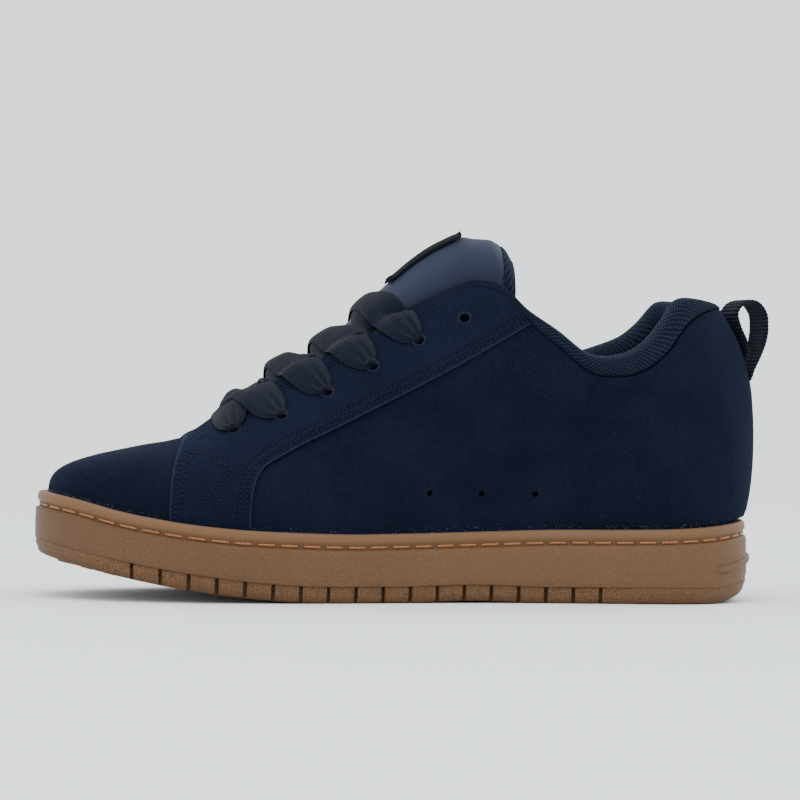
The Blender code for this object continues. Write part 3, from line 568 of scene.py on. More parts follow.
def lay_insole(column, row):
    around = column * 2
    step = np.round(row * (len(INSOLE_SECTION) - 1)).astype(int)
    spine, rim = spine_point(around), inset_point(around, RIM_WALL, 0.0)
    laid = np.zeros((len(around), 3))
    for number, (reach, lift) in enumerate(INSOLE_SECTION):
        here = step == number
        if isinstance(reach, str):
            spot = (spine if reach == "spine" else (spine + rim) / 2)[here]
            floor = cup_floor(spot[:, 0])
        else:
            spot = inset_point(around[here], reach, 0.0)
            floor = cup_floor(outline_point(around[here])[:, 0])
        spot[:, 2] = floor + 2 * CLEARANCE + INSOLE_THICKNESS + lift
        laid[here] = spot
    return laid


knit = Finish("footbed_knit", 0.95, Sheen_Weight=0.4, Specular_IOR_Level=0.2)
knit.paint(knit.noise(PILE_SCALE, 2.0), FOOTBED_DARK, FOOTBED_LIT)
knit.bump((knit.noise(BRUSH_SCALE, 2.0), BRUSH_DEPTH))
grid = sheet(200, len(INSOLE_SECTION) - 1, lay_insole, outline_length, INSOLE_GIRTH)
add_piece("insole_knit", grid, knit.material, "footbed_fabric", "insole")

# Upper: toe box and quarters of navy nubuck, 2 mm thick, lasted over the foot's shape and sunk
# into the cup. Each station's wall runs from the rim to the top line in one curve.
TOE_HEIGHT = 0.060
INSTEP_HEIGHT = 0.130
HEEL_HEIGHT = 0.124
THROAT_RUN = 0.300
NAVY = (0.0033, 0.0046, 0.0118)
NAVY_WORN = (0.0070, 0.0092, 0.0210)
FIBRE = (0.050, 0.060, 0.095)
CLOUD_SCALE, CLOUD_SHARE = 32.0, 0.45
MOTTLE_SCALE = 950.0
FIBRE_SCALE, FIBRE_LOW, FIBRE_HIGH, FIBRE_SHARE = 1150.0, 0.775, 0.82, 0.55
BUFF_SCALE, BUFF_DEPTH = 160.0, 0.00035
NAP_SCALE, NAP_DEPTH = 1700.0, 0.00045

# Where the top line lies along the sole and across the ball width, its height as shares of toe,
# instep and heel heights, the angle at which the wall arrives there and the pulls of its curve.
# The rows past both ends mirror their neighbours, so that toe and heel stay round
TOP_LINE = Sections(("run", "along", "across", "toe", "instep", "heel", "lean", "rise", "reach"), [
    (-0.06, 0.083, 0.000, 0.980, 0.00, 0.000, 13, 0.42, 0.50),
    (0.000, 0.073, 0.000, 0.960, 0.00, 0.000, 15, 0.36, 0.54),
    (0.060, 0.083, 0.000, 0.980, 0.00, 0.000, 13, 0.42, 0.50),
    (0.120, 0.105, 0.000, 1.005, 0.00, 0.000, 6, 0.44, 0.50),
    (0.180, 0.142, 0.000, 1.045, 0.00, 0.000, 3, 0.42, 0.46),
    (0.240, 0.188, 0.000, 1.090, 0.00, 0.000, 2, 0.40, 0.42),
    (0.280, 0.222, 0.000, 1.145, 0.00, 0.000, 4, 0.42, 0.40),
    (0.300, 0.243, 0.000, 0.800, 0.195, 0.000, 6, 0.42, 0.38),
    (0.320, 0.250, 0.043, 0.600, 0.297, 0.000, 10, 0.42, 0.37),
    (0.340, 0.262, 0.092, 0.300, 0.455, 0.000, 20, 0.42, 0.36),
    (0.365, 0.284, 0.125, 0.100, 0.582, 0.000, 31, 0.42, 0.35),
    (0.400, 0.322, 0.142, 0.000, 0.680, 0.000, 36, 0.42, 0.34),
    (0.460, 0.403, 0.158, 0.000, 0.776, 0.000, 40, 0.42, 0.34),
    (0.520, 0.486, 0.178, 0.000, 0.885, 0.000, 46, 0.42, 0.34),
    (0.570, 0.548, 0.197, 0.000, 0.957, 0.000, 53, 0.42, 0.34),
    (0.610, 0.594, 0.213, 0.000, 1.000, 0.000, 60, 0.42, 0.34),
    (0.640, 0.630, 0.232, 0.000, 0.970, 0.014, 66, 0.42, 0.34),
    (0.680, 0.672, 0.264, 0.000, 0.760, 0.130, 72, 0.42, 0.34),
    (0.720, 0.712, 0.292, 0.000, 0.400, 0.428, 76, 0.42, 0.34),
    (0.760, 0.752, 0.312, 0.000, 0.100, 0.665, 78, 0.42, 0.34),
    (0.800, 0.790, 0.317, 0.000, 0.000, 0.757, 78, 0.42, 0.34),
    (0.840, 0.827, 0.307, 0.000, 0.000, 0.776, 77, 0.42, 0.34),
    (0.880, 0.865, 0.277, 0.000, 0.000, 0.842, 75, 0.42, 0.34),
    (0.915, 0.898, 0.232, 0.000, 0.000, 0.942, 72, 0.42, 0.34),
    (0.950, 0.932, 0.160, 0.000, 0.000, 0.990, 68, 0.42, 0.33),
    (0.980, 0.9565, 0.068, 0.000, 0.000, 1.000, 64, 0.42, 0.32),
    (1.000, 0.962, 0.000, 0.000, 0.000, 1.000, 62, 0.42, 0.32),
    (1.020, 0.9565, -0.068, 0.000, 0.000, 1.000, 64, 0.42, 0.32)])

# How far the wall swells outwards low down, high up and over the rim, as shares of the rim wall
SWELL = Sections(("run", "foot", "crest", "over"), [
    (0.00, 0.00, 0.0, 0.0), (0.06, 0.10, 0.0, 0.0), (0.12, 0.40, 0.0, 0.0), (0.25, 0.50, 0.0, 0.0),
    (0.45, 0.50, 0.0, 0.0), (0.70, 0.60, 0.0, 0.05), (0.85, 1.10, 0.0, 0.30), (0.93, 1.80, 0.6, 0.75),
    (1.00, 2.50, 1.2, 0.95)])
OVER_REACH = 0.32
WALL_FLARE = 0.3

# Soft creases seen from the side, along the sole and up: start, end, half width and depth. A
# lower ridge runs beside each trough.
CREASE_RIDGE, RIDGE_GAP = 0.5, 1.7
CREASES = (
    ((0.046, 0.056), (0.040, 0.044), 0.0045, 0.00035), ((0.058, 0.063), (0.050, 0.050), 0.0050, 0.00030),
    ((0.150, 0.062), (0.178, 0.052), 0.0070, 0.00035), ((0.196, 0.060), (0.226, 0.047), 0.0080, 0.00045),
    ((0.206, 0.080), (0.238, 0.066), 0.0070, 0.00050), ((0.222, 0.088), (0.250, 0.083), 0.0050, 0.00040),
    ((0.262, 0.094), (0.270, 0.070), 0.0060, 0.00040), ((0.284, 0.104), (0.296, 0.082), 0.0060, 0.00030))


def wall_foot(around):
    rim = rim_top(outline_point(around)[:, 0])
    return inset_point(around, RIM_WALL + CLEARANCE, rim)


def wall_top(around):
    side, run = side_and_run(around)
    x = TOP_LINE.at("along", run) * SOLE_LENGTH
    height = (TOP_LINE.at("toe", run) * TOE_HEIGHT + TOP_LINE.at("instep", run) * INSTEP_HEIGHT
              + TOP_LINE.at("heel", run) * HEEL_HEIGHT)
    return points(x, swing(x) + side * np.maximum(0.0, TOP_LINE.at("across", run)) * BALL_WIDTH, height)


def wall_curve(around, rise):
    """The upper's outer face: rise 0 at the cup's rim, 1 at the top line, below 0 in the cup."""
    around, rise = np.broadcast_arrays(np.atleast_1d(around), np.atleast_1d(rise))
    foot, top = wall_foot(around), wall_top(around)
    run = side_and_run(around)[1]
    out = outline_out(around)
    span = np.linalg.norm(top - foot, axis=-1)[:, None]
    level = (top - foot) * (1, 1, 0) - out * WALL_FLARE * span
    lean = np.radians(TOP_LINE.at("lean", run))[:, None]
    arrive = unit(level) * np.cos(lean) + np.array((0, 0, 1)) * np.sin(lean)
    low = (foot + np.array((0, 0, 1)) * TOP_LINE.at("rise", run)[:, None] * span
           + out * (SWELL.at("foot", run) * RIM_WALL)[:, None])
    high = (top - arrive * TOP_LINE.at("reach", run)[:, None] * span
            + out * (SWELL.at("crest", run) * RIM_WALL)[:, None])
    t, s = np.clip(rise, 0, None)[:, None], 1 - np.clip(rise, 0, None)[:, None]
    over = SWELL.at("over", run)[:, None] * RIM_WALL * ease(-0.02, 0.025, t) * np.exp(-(t / OVER_REACH) ** 2)
    curve = foot * s ** 3 + low * 3 * s * s * t + high * 3 * s * t * t + top * t ** 3 + out * over
    floor = cup_floor(outline_point(around)[:, 0]) + CLEARANCE
    sunk = foot + points(0, 0, (foot[:, 2] - floor) * np.minimum(rise, 0))
    return np.where(rise[:, None] < 0, sunk, curve)


def wall_out(around, rise, step=0.006, climb=0.02):
    """Outward direction of the upper's face."""
    around, rise = np.broadcast_arrays(np.atleast_1d(around), np.atleast_1d(rise))
    run = side_and_run(around)[1]
    inner = np.clip(rise, climb, 1 - climb)
    along = wall_curve(around + step, inner) - wall_curve(around - step, inner)
    upward = wall_curve(around, inner + climb) - wall_curve(around, inner - climb)
    ridge = wall_top(run + climb) - wall_top(np.maximum(run - climb, 0.0))
    on_ridge = (rise > 0.99) & (run <= THROAT_RUN)
    return unit(np.where(on_ridge[:, None], points(-ridge[:, 2], 0.0, ridge[:, 0]), np.cross(along, upward)))


def wall_point(around, rise, depth):
    """A point at a depth inside the upper's outer face; a rise over 1 carries on past the edge."""
    around, rise, depth = np.broadcast_arrays(np.atleast_1d(around), rise, depth)
    point = wall_curve(around, np.minimum(rise, 1.0)) - wall_out(around, rise) * depth[:, None]
    sunk = wall_curve(around, rise) - outline_out(around) * depth[:, None]
    upward = unit(wall_curve(around, 1.0) - wall_curve(around, 0.96)) + np.array((0, 0, 1))
    past = point + unit(upward) * np.maximum(rise - 1, 0)[:, None]
    return np.where(rise[:, None] < 0, sunk, past)


def wall_length(around, count=8):
    """Length of the upper's section from the rim to the top line."""
    steps = [wall_curve(around, (i + 1) / count) - wall_curve(around, i / count) for i in range(count)]
    return sum(np.linalg.norm(step, axis=-1) for step in steps)


def from_side(spots, start, end):
    """Distance, seen from the side, of spots from the line between two points, and the share
    along it."""
    flat = spots[:, (0, 2)] - np.array(start)
    line = np.array(end) - np.array(start)
    share = flat @ line / (line @ line)
    return np.linalg.norm(flat - np.clip(share, 0, 1)[:, None] * line, axis=-1), share


def crease_depth(around, rise):
    spots = wall_curve(around, rise)
    total = np.zeros(len(spots))
    for start, end, width, depth in CREASES:
        gap, share = from_side(spots, start, end)
        trough = depth * np.exp(-(gap / width) ** 2)
        ridge = CREASE_RIDGE * depth * np.exp(-((gap - RIDGE_GAP * width) / width) ** 2)
        total += (trough - ridge) * ease(1.3, 0.7, np.abs(2 * share - 1))
    return total * ease(0.0, 0.12, rise) * ease(1.0, 0.92, rise)


UPPER_COLUMNS, UPPER_ROWS = 400, 64
UPPER_LOW = -0.5
UPPER_GIRTH = 0.12


def lay_upper(depth):
    def lay(column, row):
        around, rise = column * 2, UPPER_LOW + (1 - UPPER_LOW) * row
        return wall_point(around, rise, depth + crease_depth(around, rise) * (depth == 0))
    return lay


def double(grid, place, back=0):
    """Close a sheet to a wall: its copy is laid by place(column shares, row shares) and has the
    back material."""
    copy = bmesh.ops.extrude_face_region(grid, geom=grid.faces[:], use_keep_orig=True)["geom"]
    verts = [item for item in copy if isinstance(item, bmesh.types.BMVert)]
    for item in copy:
        if isinstance(item, bmesh.types.BMFace):
            item.material_index = back
    for vert, spot in zip(verts, place(*shares_of(grid, verts)) + SHIFT):
        vert.co = spot
    return grid


def cut_through(piece, name, mesh_data, operation="DIFFERENCE"):
    """Cut a piece with a closed form and keep the result as its mesh."""
    mesh = bpy.data.meshes.new(name)
    bmesh.ops.recalc_face_normals(mesh_data, faces=mesh_data.faces[:])
    mesh_data.to_mesh(mesh)
    mesh_data.free()
    cutter = link(name, mesh)
    modifier = piece.modifiers.new(name, "BOOLEAN")
    modifier.object, modifier.operation, modifier.solver = cutter, operation, "EXACT"
    graph = bpy.context.evaluated_depsgraph_get()
    result = bpy.data.meshes.new_from_object(piece.evaluated_get(graph), depsgraph=graph)
    piece.modifiers.clear()
    old, piece.data = piece.data, result
    bpy.data.meshes.remove(old)
    bpy.data.objects.remove(cutter, do_unlink=True)


def standing(spot, out):
    """The transform that stands a shape on a spot, its Z along an outward direction."""
    return Matrix.Translation(Vector(spot)) @ Vector(out).to_track_quat("Z", "Y").to_matrix().to_4x4()


def rods(places, radius, half_length, sides=24):
    """Closed rods along the upper's outward direction at each (around, rise)."""
    form = bmesh.new()
    for around, rise in places:
        turn = standing((wall_curve(around, rise) + SHIFT)[0], wall_out(around, rise)[0])
        bmesh.ops.create_cone(form, cap_ends=True, segments=sides, radius1=radius, radius2=radius,
                              depth=2 * half_length, matrix=turn)
    return form


def find_run(x, rise, side, halvings=22):
    """The place around the upper where its wall, at this rise, stands at x."""
    low, high = 0.0, 1.0
    for _ in range(halvings):
        middle = (low + high) / 2
        if wall_curve(middle if side < 0 else -middle, rise)[0, 0] < x:
            low = middle
        else:
            high = middle
    return low if side < 0 else 2 - low


def nubuck_finish(name, dark, worn, relief=lambda nap: (), rub_and_highlight=lambda nap, colour: colour):
    """Buffed leather: a short nap that mottles the colour, with a few loose pale fibres."""
    nap = Finish(name, 0.94, Sheen_Weight=0.035, Sheen_Roughness=0.5, Sheen_Tint=(0.40, 0.50, 1.0, 1.0),
                 Specular_IOR_Level=0.03)
    mottle = nap.math("ADD", nap.product(nap.noise(CLOUD_SCALE, 6.0, 0.65), CLOUD_SHARE),
                      nap.product(nap.noise(MOTTLE_SCALE, 4.0, 0.7), 1 - CLOUD_SHARE))
    colour = rub_and_highlight(nap, nap.blend(nap.steps(mottle, MOTTLE_LOW, MOTTLE_HIGH), dark, worn))
    fibres = nap.steps(nap.noise(FIBRE_SCALE, 1.0), FIBRE_LOW, FIBRE_HIGH)
    nap.paint(nap.product(fibres, FIBRE_SHARE), colour, FIBRE)
    layers = [(nap.noise(BUFF_SCALE, 4.0), BUFF_DEPTH), (nap.noise(NAP_SCALE, 4.0, 0.75), NAP_DEPTH)]
    nap.bump(*layers, *relief(nap))
    return nap


EYELET_COUNT = 6
EYELET_FIRST = 0.0810
EYELET_PITCH = 0.0188
EYELET_RADIUS = 0.0023
EYELET_INSET_FRONT = 0.0205
EYELET_INSET_BACK = 0.0135
VENT_XS = (0.160, 0.182, 0.2045)
VENT_HEIGHT = 0.045
VENT_RADIUS = 0.00125
HOLE_REACH = 0.006


def eyelet_place(number, side, rounds=6):
    """Around and rise of an eyelet: a set distance below the throat's edge."""
    x = EYELET_FIRST + EYELET_PITCH * number
    inset = EYELET_INSET_FRONT + (EYELET_INSET_BACK - EYELET_INSET_FRONT) * number / (EYELET_COUNT - 1)
    rise = 0.8
    for _ in range(rounds):
        around = find_run(x, rise, side)
        rise = 1 - inset / float(wall_length(around)[0])
    return around, rise


def vent_place(x, rounds=12):
    """Around and rise of a vent hole, at its height over the floor."""
    rise = 0.1
    for _ in range(rounds):
        around = find_run(x, rise, -1)
        rise += (VENT_HEIGHT - wall_curve(around, rise)[0, 2]) / float(wall_length(around)[0])
    return around, rise


eyelets = {(number, side): eyelet_place(number, side)
           for number in range(EYELET_COUNT) for side in (-1, 1)}
vents = [vent_place(x) for x in VENT_XS]
nubuck = nubuck_finish("nubuck", NAVY, NAVY_WORN)
grid = sheet(UPPER_COLUMNS, UPPER_ROWS, lay_upper(0.0), outline_length, UPPER_GIRTH)
upper = add_piece("upper_nubuck", double(grid, lay_upper(UPPER_WALL)), nubuck.material, "nubuck", "upper",
                  sharp=50)
cut_through(upper, "eyelet_holes", rods(eyelets.values(), EYELET_RADIUS, HOLE_REACH))
cut_through(upper, "vent_holes", rods(vents, VENT_RADIUS, HOLE_REACH, 20))

# Rim fuzz: pale fibres rubbed off the nubuck and caught along the rubber's rim. Each is a thin
# spike with its foot on the upper.
FUZZ_COUNT = 900
FUZZ_LENGTH = 0.0011
FUZZ_RADIUS = 0.00008
FUZZ_RISE = 0.022
FUZZ_STRAY = 0.8
FUZZ_PALE = (0.20, 0.20, 0.22)
chance = np.random.default_rng(3)
around = chance.uniform(0.0, 2.0, FUZZ_COUNT)
roots = wall_curve(around, FUZZ_RISE * chance.uniform(0.2, 1.0, FUZZ_COUNT) ** 2) + SHIFT
leans = unit(outline_out(around) + chance.normal(0.0, FUZZ_STRAY, (FUZZ_COUNT, 3)))
lengths = FUZZ_LENGTH * chance.uniform(0.4, 1.0, FUZZ_COUNT)
fibres = bmesh.new()
for root, lean, length in zip(roots, leans, lengths):
    bmesh.ops.create_cone(fibres, segments=3, radius1=FUZZ_RADIUS, radius2=0.0, depth=length,
                          matrix=standing(root + lean * length / 2, lean))
fuzz = Finish("rim_fuzz", 1.0, Specular_IOR_Level=0.0)
fuzz.paint(fuzz.noise(300.0), shade(FUZZ_PALE, 0.4), FUZZ_PALE)
add_piece("rim_fuzz", fibres, fuzz.material, "nubuck", sharp=80)

# Eyestays: a second layer of nubuck stitched over the throat and down to the sole in front, cut
# to one outline on both sides. Its raw edge is paler than its face, with a painted highlight
# along the face's rounded edge.
EYESTAY_WALL = 0.0015
EYESTAY_START, EYESTAY_END = 0.165, 0.72
EYESTAY_LOW = 0.006
EDGE_ROUND = 0.0008
EDGE_PITCH = 0.002
VALLEY_WIDTH = 0.0011
VALLEY_DEPTH = 0.0005
CUT_SCALE, FLESH_SCALE, FLESH_DEPTH = 1500.0, 3000.0, 0.0003
EYESTAY_COLUMNS, EYESTAY_ROWS = 340, 96
STITCH_PITCH = 0.0020
ROW_INSETS = (0.0024, 0.0050)
STAY_NAVY = (0.0040, 0.0056, 0.0142)
STAY_WORN = (0.0082, 0.0108, 0.0244)
EDGE_NAVY_AND_HIGHLIGHT = (0.0150, 0.0192, 0.0380)

# Outline from the side, along the sole and up: front edge, rear edge and a closing line above
# the throat
EYESTAY_FRONT = ((0.176, 0.020), (0.176, 0.042), (0.179, 0.051), (0.188, 0.060), (0.205, 0.068),
                 (0.226, 0.0722))
EYESTAY_REAR = ((0.670, 0.1155), (0.560, 0.0962), (0.420, 0.0740), (0.324, 0.0590),
                (0.303, 0.0550), (0.291, 0.0490), (0.286, 0.0420), (0.286, 0.020))
EYESTAY_OVER = ((0.24, 0.16), (0.68, 0.16))


def path_run(path):
    """How far along a path each of its points lies."""
    return np.concatenate(([0.0], np.cumsum(np.linalg.norm(np.diff(path, axis=0), axis=1))))


def smooth_path(spots, pitch, fineness=400):
    """Evenly spaced points on a smooth curve through a few, each along and up."""
    run = path_run(spots)
    curve = Sections(("run", "along", "up"), np.column_stack((run, spots)))
    fine = np.linspace(0, run[-1], fineness)
    path = np.column_stack((curve.at("along", fine), curve.at("up", fine)))
    length = path_run(path)
    even = np.linspace(0, length[-1], max(2, round(length[-1] / pitch) + 1))
    return np.column_stack([np.interp(even, length, column) for column in path.T])


def in_metres(edge):
    return [(x * SOLE_LENGTH, z) for x, z in edge]


def inside(path, distance):
    """The same path, moved sideways to its right as seen from the medial side."""
    ahead = unit(np.gradient(path, axis=0))
    return path + np.column_stack((ahead[:, 1], -ahead[:, 0])) * distance


front_edge = smooth_path(in_metres(EYESTAY_FRONT), EDGE_PITCH)
rear_edge = smooth_path(in_metres(EYESTAY_REAR), EDGE_PITCH)


def from_edges(spots):
    """Distance of spots from the eyestay's raw edges, seen from the side."""
    edges = np.concatenate((front_edge, rear_edge))
    return np.min([np.hypot(spots[:, 0] - x, spots[:, 2] - z) for x, z in edges], axis=0)


def lay_eyestay(depth):
    def lay(column, row):
        around = np.where(column < 0.5, -EYESTAY_END + (EYESTAY_END - EYESTAY_START) * column * 2,
                          EYESTAY_START + (EYESTAY_END - EYESTAY_START) * (column - 0.5) * 2)
        rise = EYESTAY_LOW + (1 - EYESTAY_LOW) * row
        if depth > -EYESTAY_WALL:
            return wall_point(around, rise, depth)
        rounded = EDGE_ROUND * ease(2 * EDGE_ROUND, 0.0, from_edges(wall_curve(around, rise)))
        return wall_point(around, rise, depth + rounded)
    return lay


def stay_relief(nap):
    """The thread draws the nubuck down along both rows, and it swells between them."""
    gaps = [nap.math("SUBTRACT", nap.marked("from_edge"), inset) for inset in ROW_INSETS]
    valleys = [nap.steps(nap.math("ABSOLUTE", gap), 0.0, VALLEY_WIDTH) for gap in gaps]
    return ((nap.product(*valleys), VALLEY_DEPTH),)


def stay_edge_rub_and_highlight(nap, colour):
    """The cut edge has lost its dye a little, and a painted highlight lines the face's rounded edge."""
    worn = nap.steps(nap.marked("from_edge"), 1.4 * EDGE_ROUND, 0.4 * EDGE_ROUND)
    return nap.blend(worn, colour, EDGE_NAVY_AND_HIGHLIGHT)


stay_finish = nubuck_finish("eyestay_nubuck", STAY_NAVY, STAY_WORN, stay_relief, stay_edge_rub_and_highlight)
raw_edge = Finish("nubuck_edge", 0.95, Sheen_Weight=0.04, Specular_IOR_Level=0.05)
raw_edge.paint(raw_edge.noise(CUT_SCALE), STAY_WORN, EDGE_NAVY_AND_HIGHLIGHT)
raw_edge.bump((raw_edge.noise(FLESH_SCALE), FLESH_DEPTH))
grid = sheet(EYESTAY_COLUMNS + 1, EYESTAY_ROWS, lay_eyestay(-CLEARANCE - EYESTAY_WALL))
mark(grid, "from_edge", from_edges(np.array([vert.co for vert in grid.verts]) - SHIFT))
eyestay = add_piece("eyestay_nubuck", double(grid, lay_eyestay(-CLEARANCE / 2)),
                    [stay_finish.material, raw_edge.material], "nubuck_overlay", "eyestay", sharp=50)
outline = [*front_edge, *in_metres(EYESTAY_OVER), *rear_edge]
prism = bmesh.new()
face = prism.faces.new([prism.verts.new(Vector((x, -BALL_WIDTH, z)) + Vector(SHIFT)) for x, z in outline])
swept = bmesh.ops.extrude_face_region(prism, geom=[face], use_keep_orig=True)["geom"]
bmesh.ops.translate(prism, verts=[item for item in swept if isinstance(item, bmesh.types.BMVert)],
                    vec=(0, 2 * BALL_WIDTH, 0))
cut_through(eyestay, "eyestay_outline", prism, "INTERSECT")
cut_through(eyestay, "eyelet_holes", rods(eyelets.values(), EYELET_RADIUS, HOLE_REACH))

# Eyestay stitching: two rows along each edge and at the throat, and a boxed cross on the leg.
# Thread lies in the nubuck between needle holes, each a flat dark disc of painted shade.
STITCH_LENGTH = 0.00150
STITCH_RADIUS = 0.00027
STITCH_PROUD = 0.35
HOLE_RADIUS = 0.00040
HOLE_FLAT = 0.35
PLY_SCALE = 900.0
SEAM_THREAD = (0.0080, 0.0112, 0.0330)
HOLE_SHADE, HOLE_SHADE_PALE = (0.002, 0.003, 0.006), (0.005, 0.006, 0.012)
BOX_TOP = 0.0548
BOX_LOW = 0.034
BOX_INSET = 0.0075
BOX_TILT = 0.003
BOX_ROW_GAP = 0.0028
THROAT_ROWS = ((0.0022, 0.345, 0.575), (0.0046, 0.345, 0.49))


def surface(piece):
    """A finished piece's faces, for lines to meet."""
    return BVHTree.FromObject(piece, bpy.context.evaluated_depsgraph_get())


eyestay_tree = surface(eyestay)


def on_side(tree, x, z, side):
    """Where a line from the side meets a piece, and the outward direction there."""
    start = Vector((x + SHIFT[0], side * 0.2, z))
    spot, normal = tree.ray_cast(start, Vector((0, -side, 0)))[:2]
    return spot, normal


def sew(threads, holes, tree, path, side):
    """Lay stitches along a path seen from the side."""
    for (x, z), (to_x, to_z) in zip(path[:-1], path[1:]):
        first, normal = on_side(tree, x, z, side)
        last = on_side(tree, to_x, to_z, side)[0]
        if first is None or last is None or (last - first).length > 2.5 * STITCH_PITCH:
            continue
        ahead = (last - first).normalized()
        turn = Matrix((ahead, normal.cross(ahead).normalized(), normal)).transposed().to_4x4()
        middle = first + ahead * STITCH_LENGTH / 2 + normal * STITCH_RADIUS * STITCH_PROUD
        hole = first - ahead * (STITCH_PITCH - STITCH_LENGTH) / 2
        for whole, spot, size, rings in (
                (threads, middle, (STITCH_LENGTH / 2, STITCH_RADIUS, STITCH_RADIUS), 6),
                (holes, hole, (HOLE_RADIUS, HOLE_RADIUS, HOLE_RADIUS * HOLE_FLAT), 4)):
            ball = bmesh.new()
            bmesh.ops.create_uvsphere(ball, u_segments=8, v_segments=rings, radius=1.0,
                                      matrix=Matrix.Translation(spot) @ turn @ Matrix.Diagonal((*size, 1.0)))
            absorb(whole, ball)


def throat_path(inset, start, end):
    """Along the throat's edge, a set distance below it, seen from the side."""
    runs = np.linspace(start, end, 60)
    rises = 1 - inset / wall_length(runs)
    return smooth_path(wall_curve(runs, rises)[:, (0, 2)], STITCH_PITCH)


rear_rows = [smooth_path(inside(rear_edge, inset), STITCH_PITCH) for inset in ROW_INSETS]
front_rows = [smooth_path(inside(front_edge, inset), STITCH_PITCH) for inset in ROW_INSETS]
box_left, box_right = front_edge[0][0] + BOX_INSET, rear_edge[-1][0] - BOX_INSET
box_rows = [((box_left, BOX_TOP + lift + BOX_TILT), (box_right, BOX_TOP + lift))
            for lift in (0.0, BOX_ROW_GAP)]
cross_rows = [((box_left, BOX_LOW), (box_right, BOX_TOP)),
              ((box_left, BOX_TOP + BOX_TILT), (box_right, BOX_LOW))]
stitch_paths = rear_rows + front_rows + [throat_path(*row) for row in THROAT_ROWS]
stitch_paths += [smooth_path(line, STITCH_PITCH) for line in box_rows + cross_rows]
threads, holes = bmesh.new(), bmesh.new()
for path in stitch_paths:
    for side in (-1, 1):
        sew(threads, holes, eyestay_tree, path, side)
seam = Finish("seam_thread", 0.6, Sheen_Weight=0.02, Specular_IOR_Level=0.08)
seam.paint(seam.noise(PLY_SCALE), SEAM_THREAD, shade(SEAM_THREAD, 0.6))
# Needle holes are flat dark discs laid on the nubuck: painted shade where each hole is.
needle_hole_shade = Finish("needle_hole_shade", 1.0, Specular_IOR_Level=0.0)
needle_hole_shade.paint(needle_hole_shade.noise(PLY_SCALE), HOLE_SHADE, HOLE_SHADE_PALE)
add_piece("eyestay_stitches", threads, seam.material, "nubuck_overlay", sharp=80)
add_piece("eyestay_needle_hole_shades", holes, needle_hole_shade.material, "nubuck_overlay", sharp=80)

# Eyelet rims: each punched hole is pressed, which leaves a low rolled ring round it
ROLL_RADIUS = 0.00042
rings = bmesh.new()
for around, rise in eyelets.values():
    spot = (wall_point(around, rise, -CLEARANCE - EYESTAY_WALL) + SHIFT)[0]
    turn = standing(spot, wall_out(around, rise)[0])
    start = turn @ Matrix.Translation((EYELET_RADIUS + ROLL_RADIUS / 2, 0, 0))
    loop = bmesh.ops.create_circle(rings, segments=8, radius=ROLL_RADIUS,
                                   matrix=start @ Matrix.Rotation(math.pi / 2, 4, "X"))["verts"]
    edges = list({edge for vert in loop for edge in vert.link_edges})
    bmesh.ops.spin(rings, geom=loop + edges, cent=Vector(spot), axis=turn.to_3x3() @ Vector((0, 0, 1)),
                   angle=2 * math.pi, steps=28, use_merge=True, use_duplicate=False)
add_piece("eyelet_rims", rings, raw_edge.material, "nubuck_overlay", sharp=80)

# Collar: foam under an open knit that rolls over the top line and hangs down inside the heel
LINING_WALL = 0.0016
COLLAR_PAD = 0.0130
COLLAR_BAND = 0.0120
COLLAR_DROP = 0.048
COLLAR_START = 0.505
COLLAR_GIRTH = 0.110
KNIT_SLIT_SHADE = (0.0008, 0.0011, 0.0028)
KNIT_YARN = (0.0124, 0.0180, 0.0440)
KNIT_WIDE, KNIT_TALL = 0.0020, 0.0034
STRAY_SCALE, KNIT_STRAY = 600.0, 1.8
SLIT_OPEN, SLIT_SHUT = 0.55, -0.75
FRAY_SCALE = 3500.0
YARN_SCALE, YARN_DEPTH = 4200.0, 0.00015
KNIT_DEPTH = 0.00050

# By the top line's run: the band above the upper's edge, the pad, its drop inside and how far
# its lip reaches over the edge
COLLAR = Sections(("run", "band", "pad", "drop", "lip"), [
    (0.500, 0.30, 0.05, 0.10, 0.6),
    (0.525, 0.40, 0.09, 0.16, 1.0),
    (0.560, 0.42, 0.14, 0.20, 1.0),
    (0.600, 0.39, 0.20, 0.26, 1.0),
    (0.660, 0.55, 0.40, 0.45, 1.0),
    (0.720, 0.75, 0.78, 0.72, 1.0),
    (0.790, 0.82, 1.00, 0.80, 1.0),
    (0.850, 1.00, 1.00, 0.86, 1.0),
    (0.905, 1.14, 0.96, 1.00, 1.0),
    (0.955, 0.46, 0.85, 1.10, 0.9),
    (1.000, 0.06, 0.80, 1.14, 0.6)])
COLLAR_HUMP, HUMP_RUN, HUMP_REACH = 0.0045, 0.82, 0.055
COLLAR_DIP, DIP_RUN, DIP_REACH = 0.0030, 0.70, 0.040

# Once round its section, from the lower edge up the outer face, over the roll and down inside:
# shares of drop or band, shares of pad, and whether the lining's wall and the lip count
COLLAR_ROUND = Sections(("turn", "share", "pad", "wall", "lip"), [
    (0.00, -1.00, 0.00, 0.5, 0.0), (0.04, -0.92, 0.00, 0.1, 0.0), (0.16, -0.45, 0.00, 0.0, 0.0),
    (0.26, 0.00, 0.00, 0.0, 0.0), (0.30, 0.10, -0.06, 0.0, 1.0), (0.37, 0.45, -0.10, 0.0, 1.0),
    (0.45, 0.82, 0.04, 0.0, 1.0), (0.51, 1.00, 0.36, 0.2, 0.7), (0.56, 0.97, 0.62, 0.8, 0.2),
    (0.62, 0.76, 0.86, 1.0, 0.0), (0.70, 0.34, 1.00, 1.0, 0.0), (0.78, -0.08, 1.06, 1.0, 0.0),
    (0.85, -0.34, 1.00, 1.0, 0.0), (0.92, -0.66, 0.62, 1.0, 0.0), (0.98, -0.97, 0.08, 0.9, 0.0),
    (1.00, -1.00, 0.00, 0.5, 0.0)])


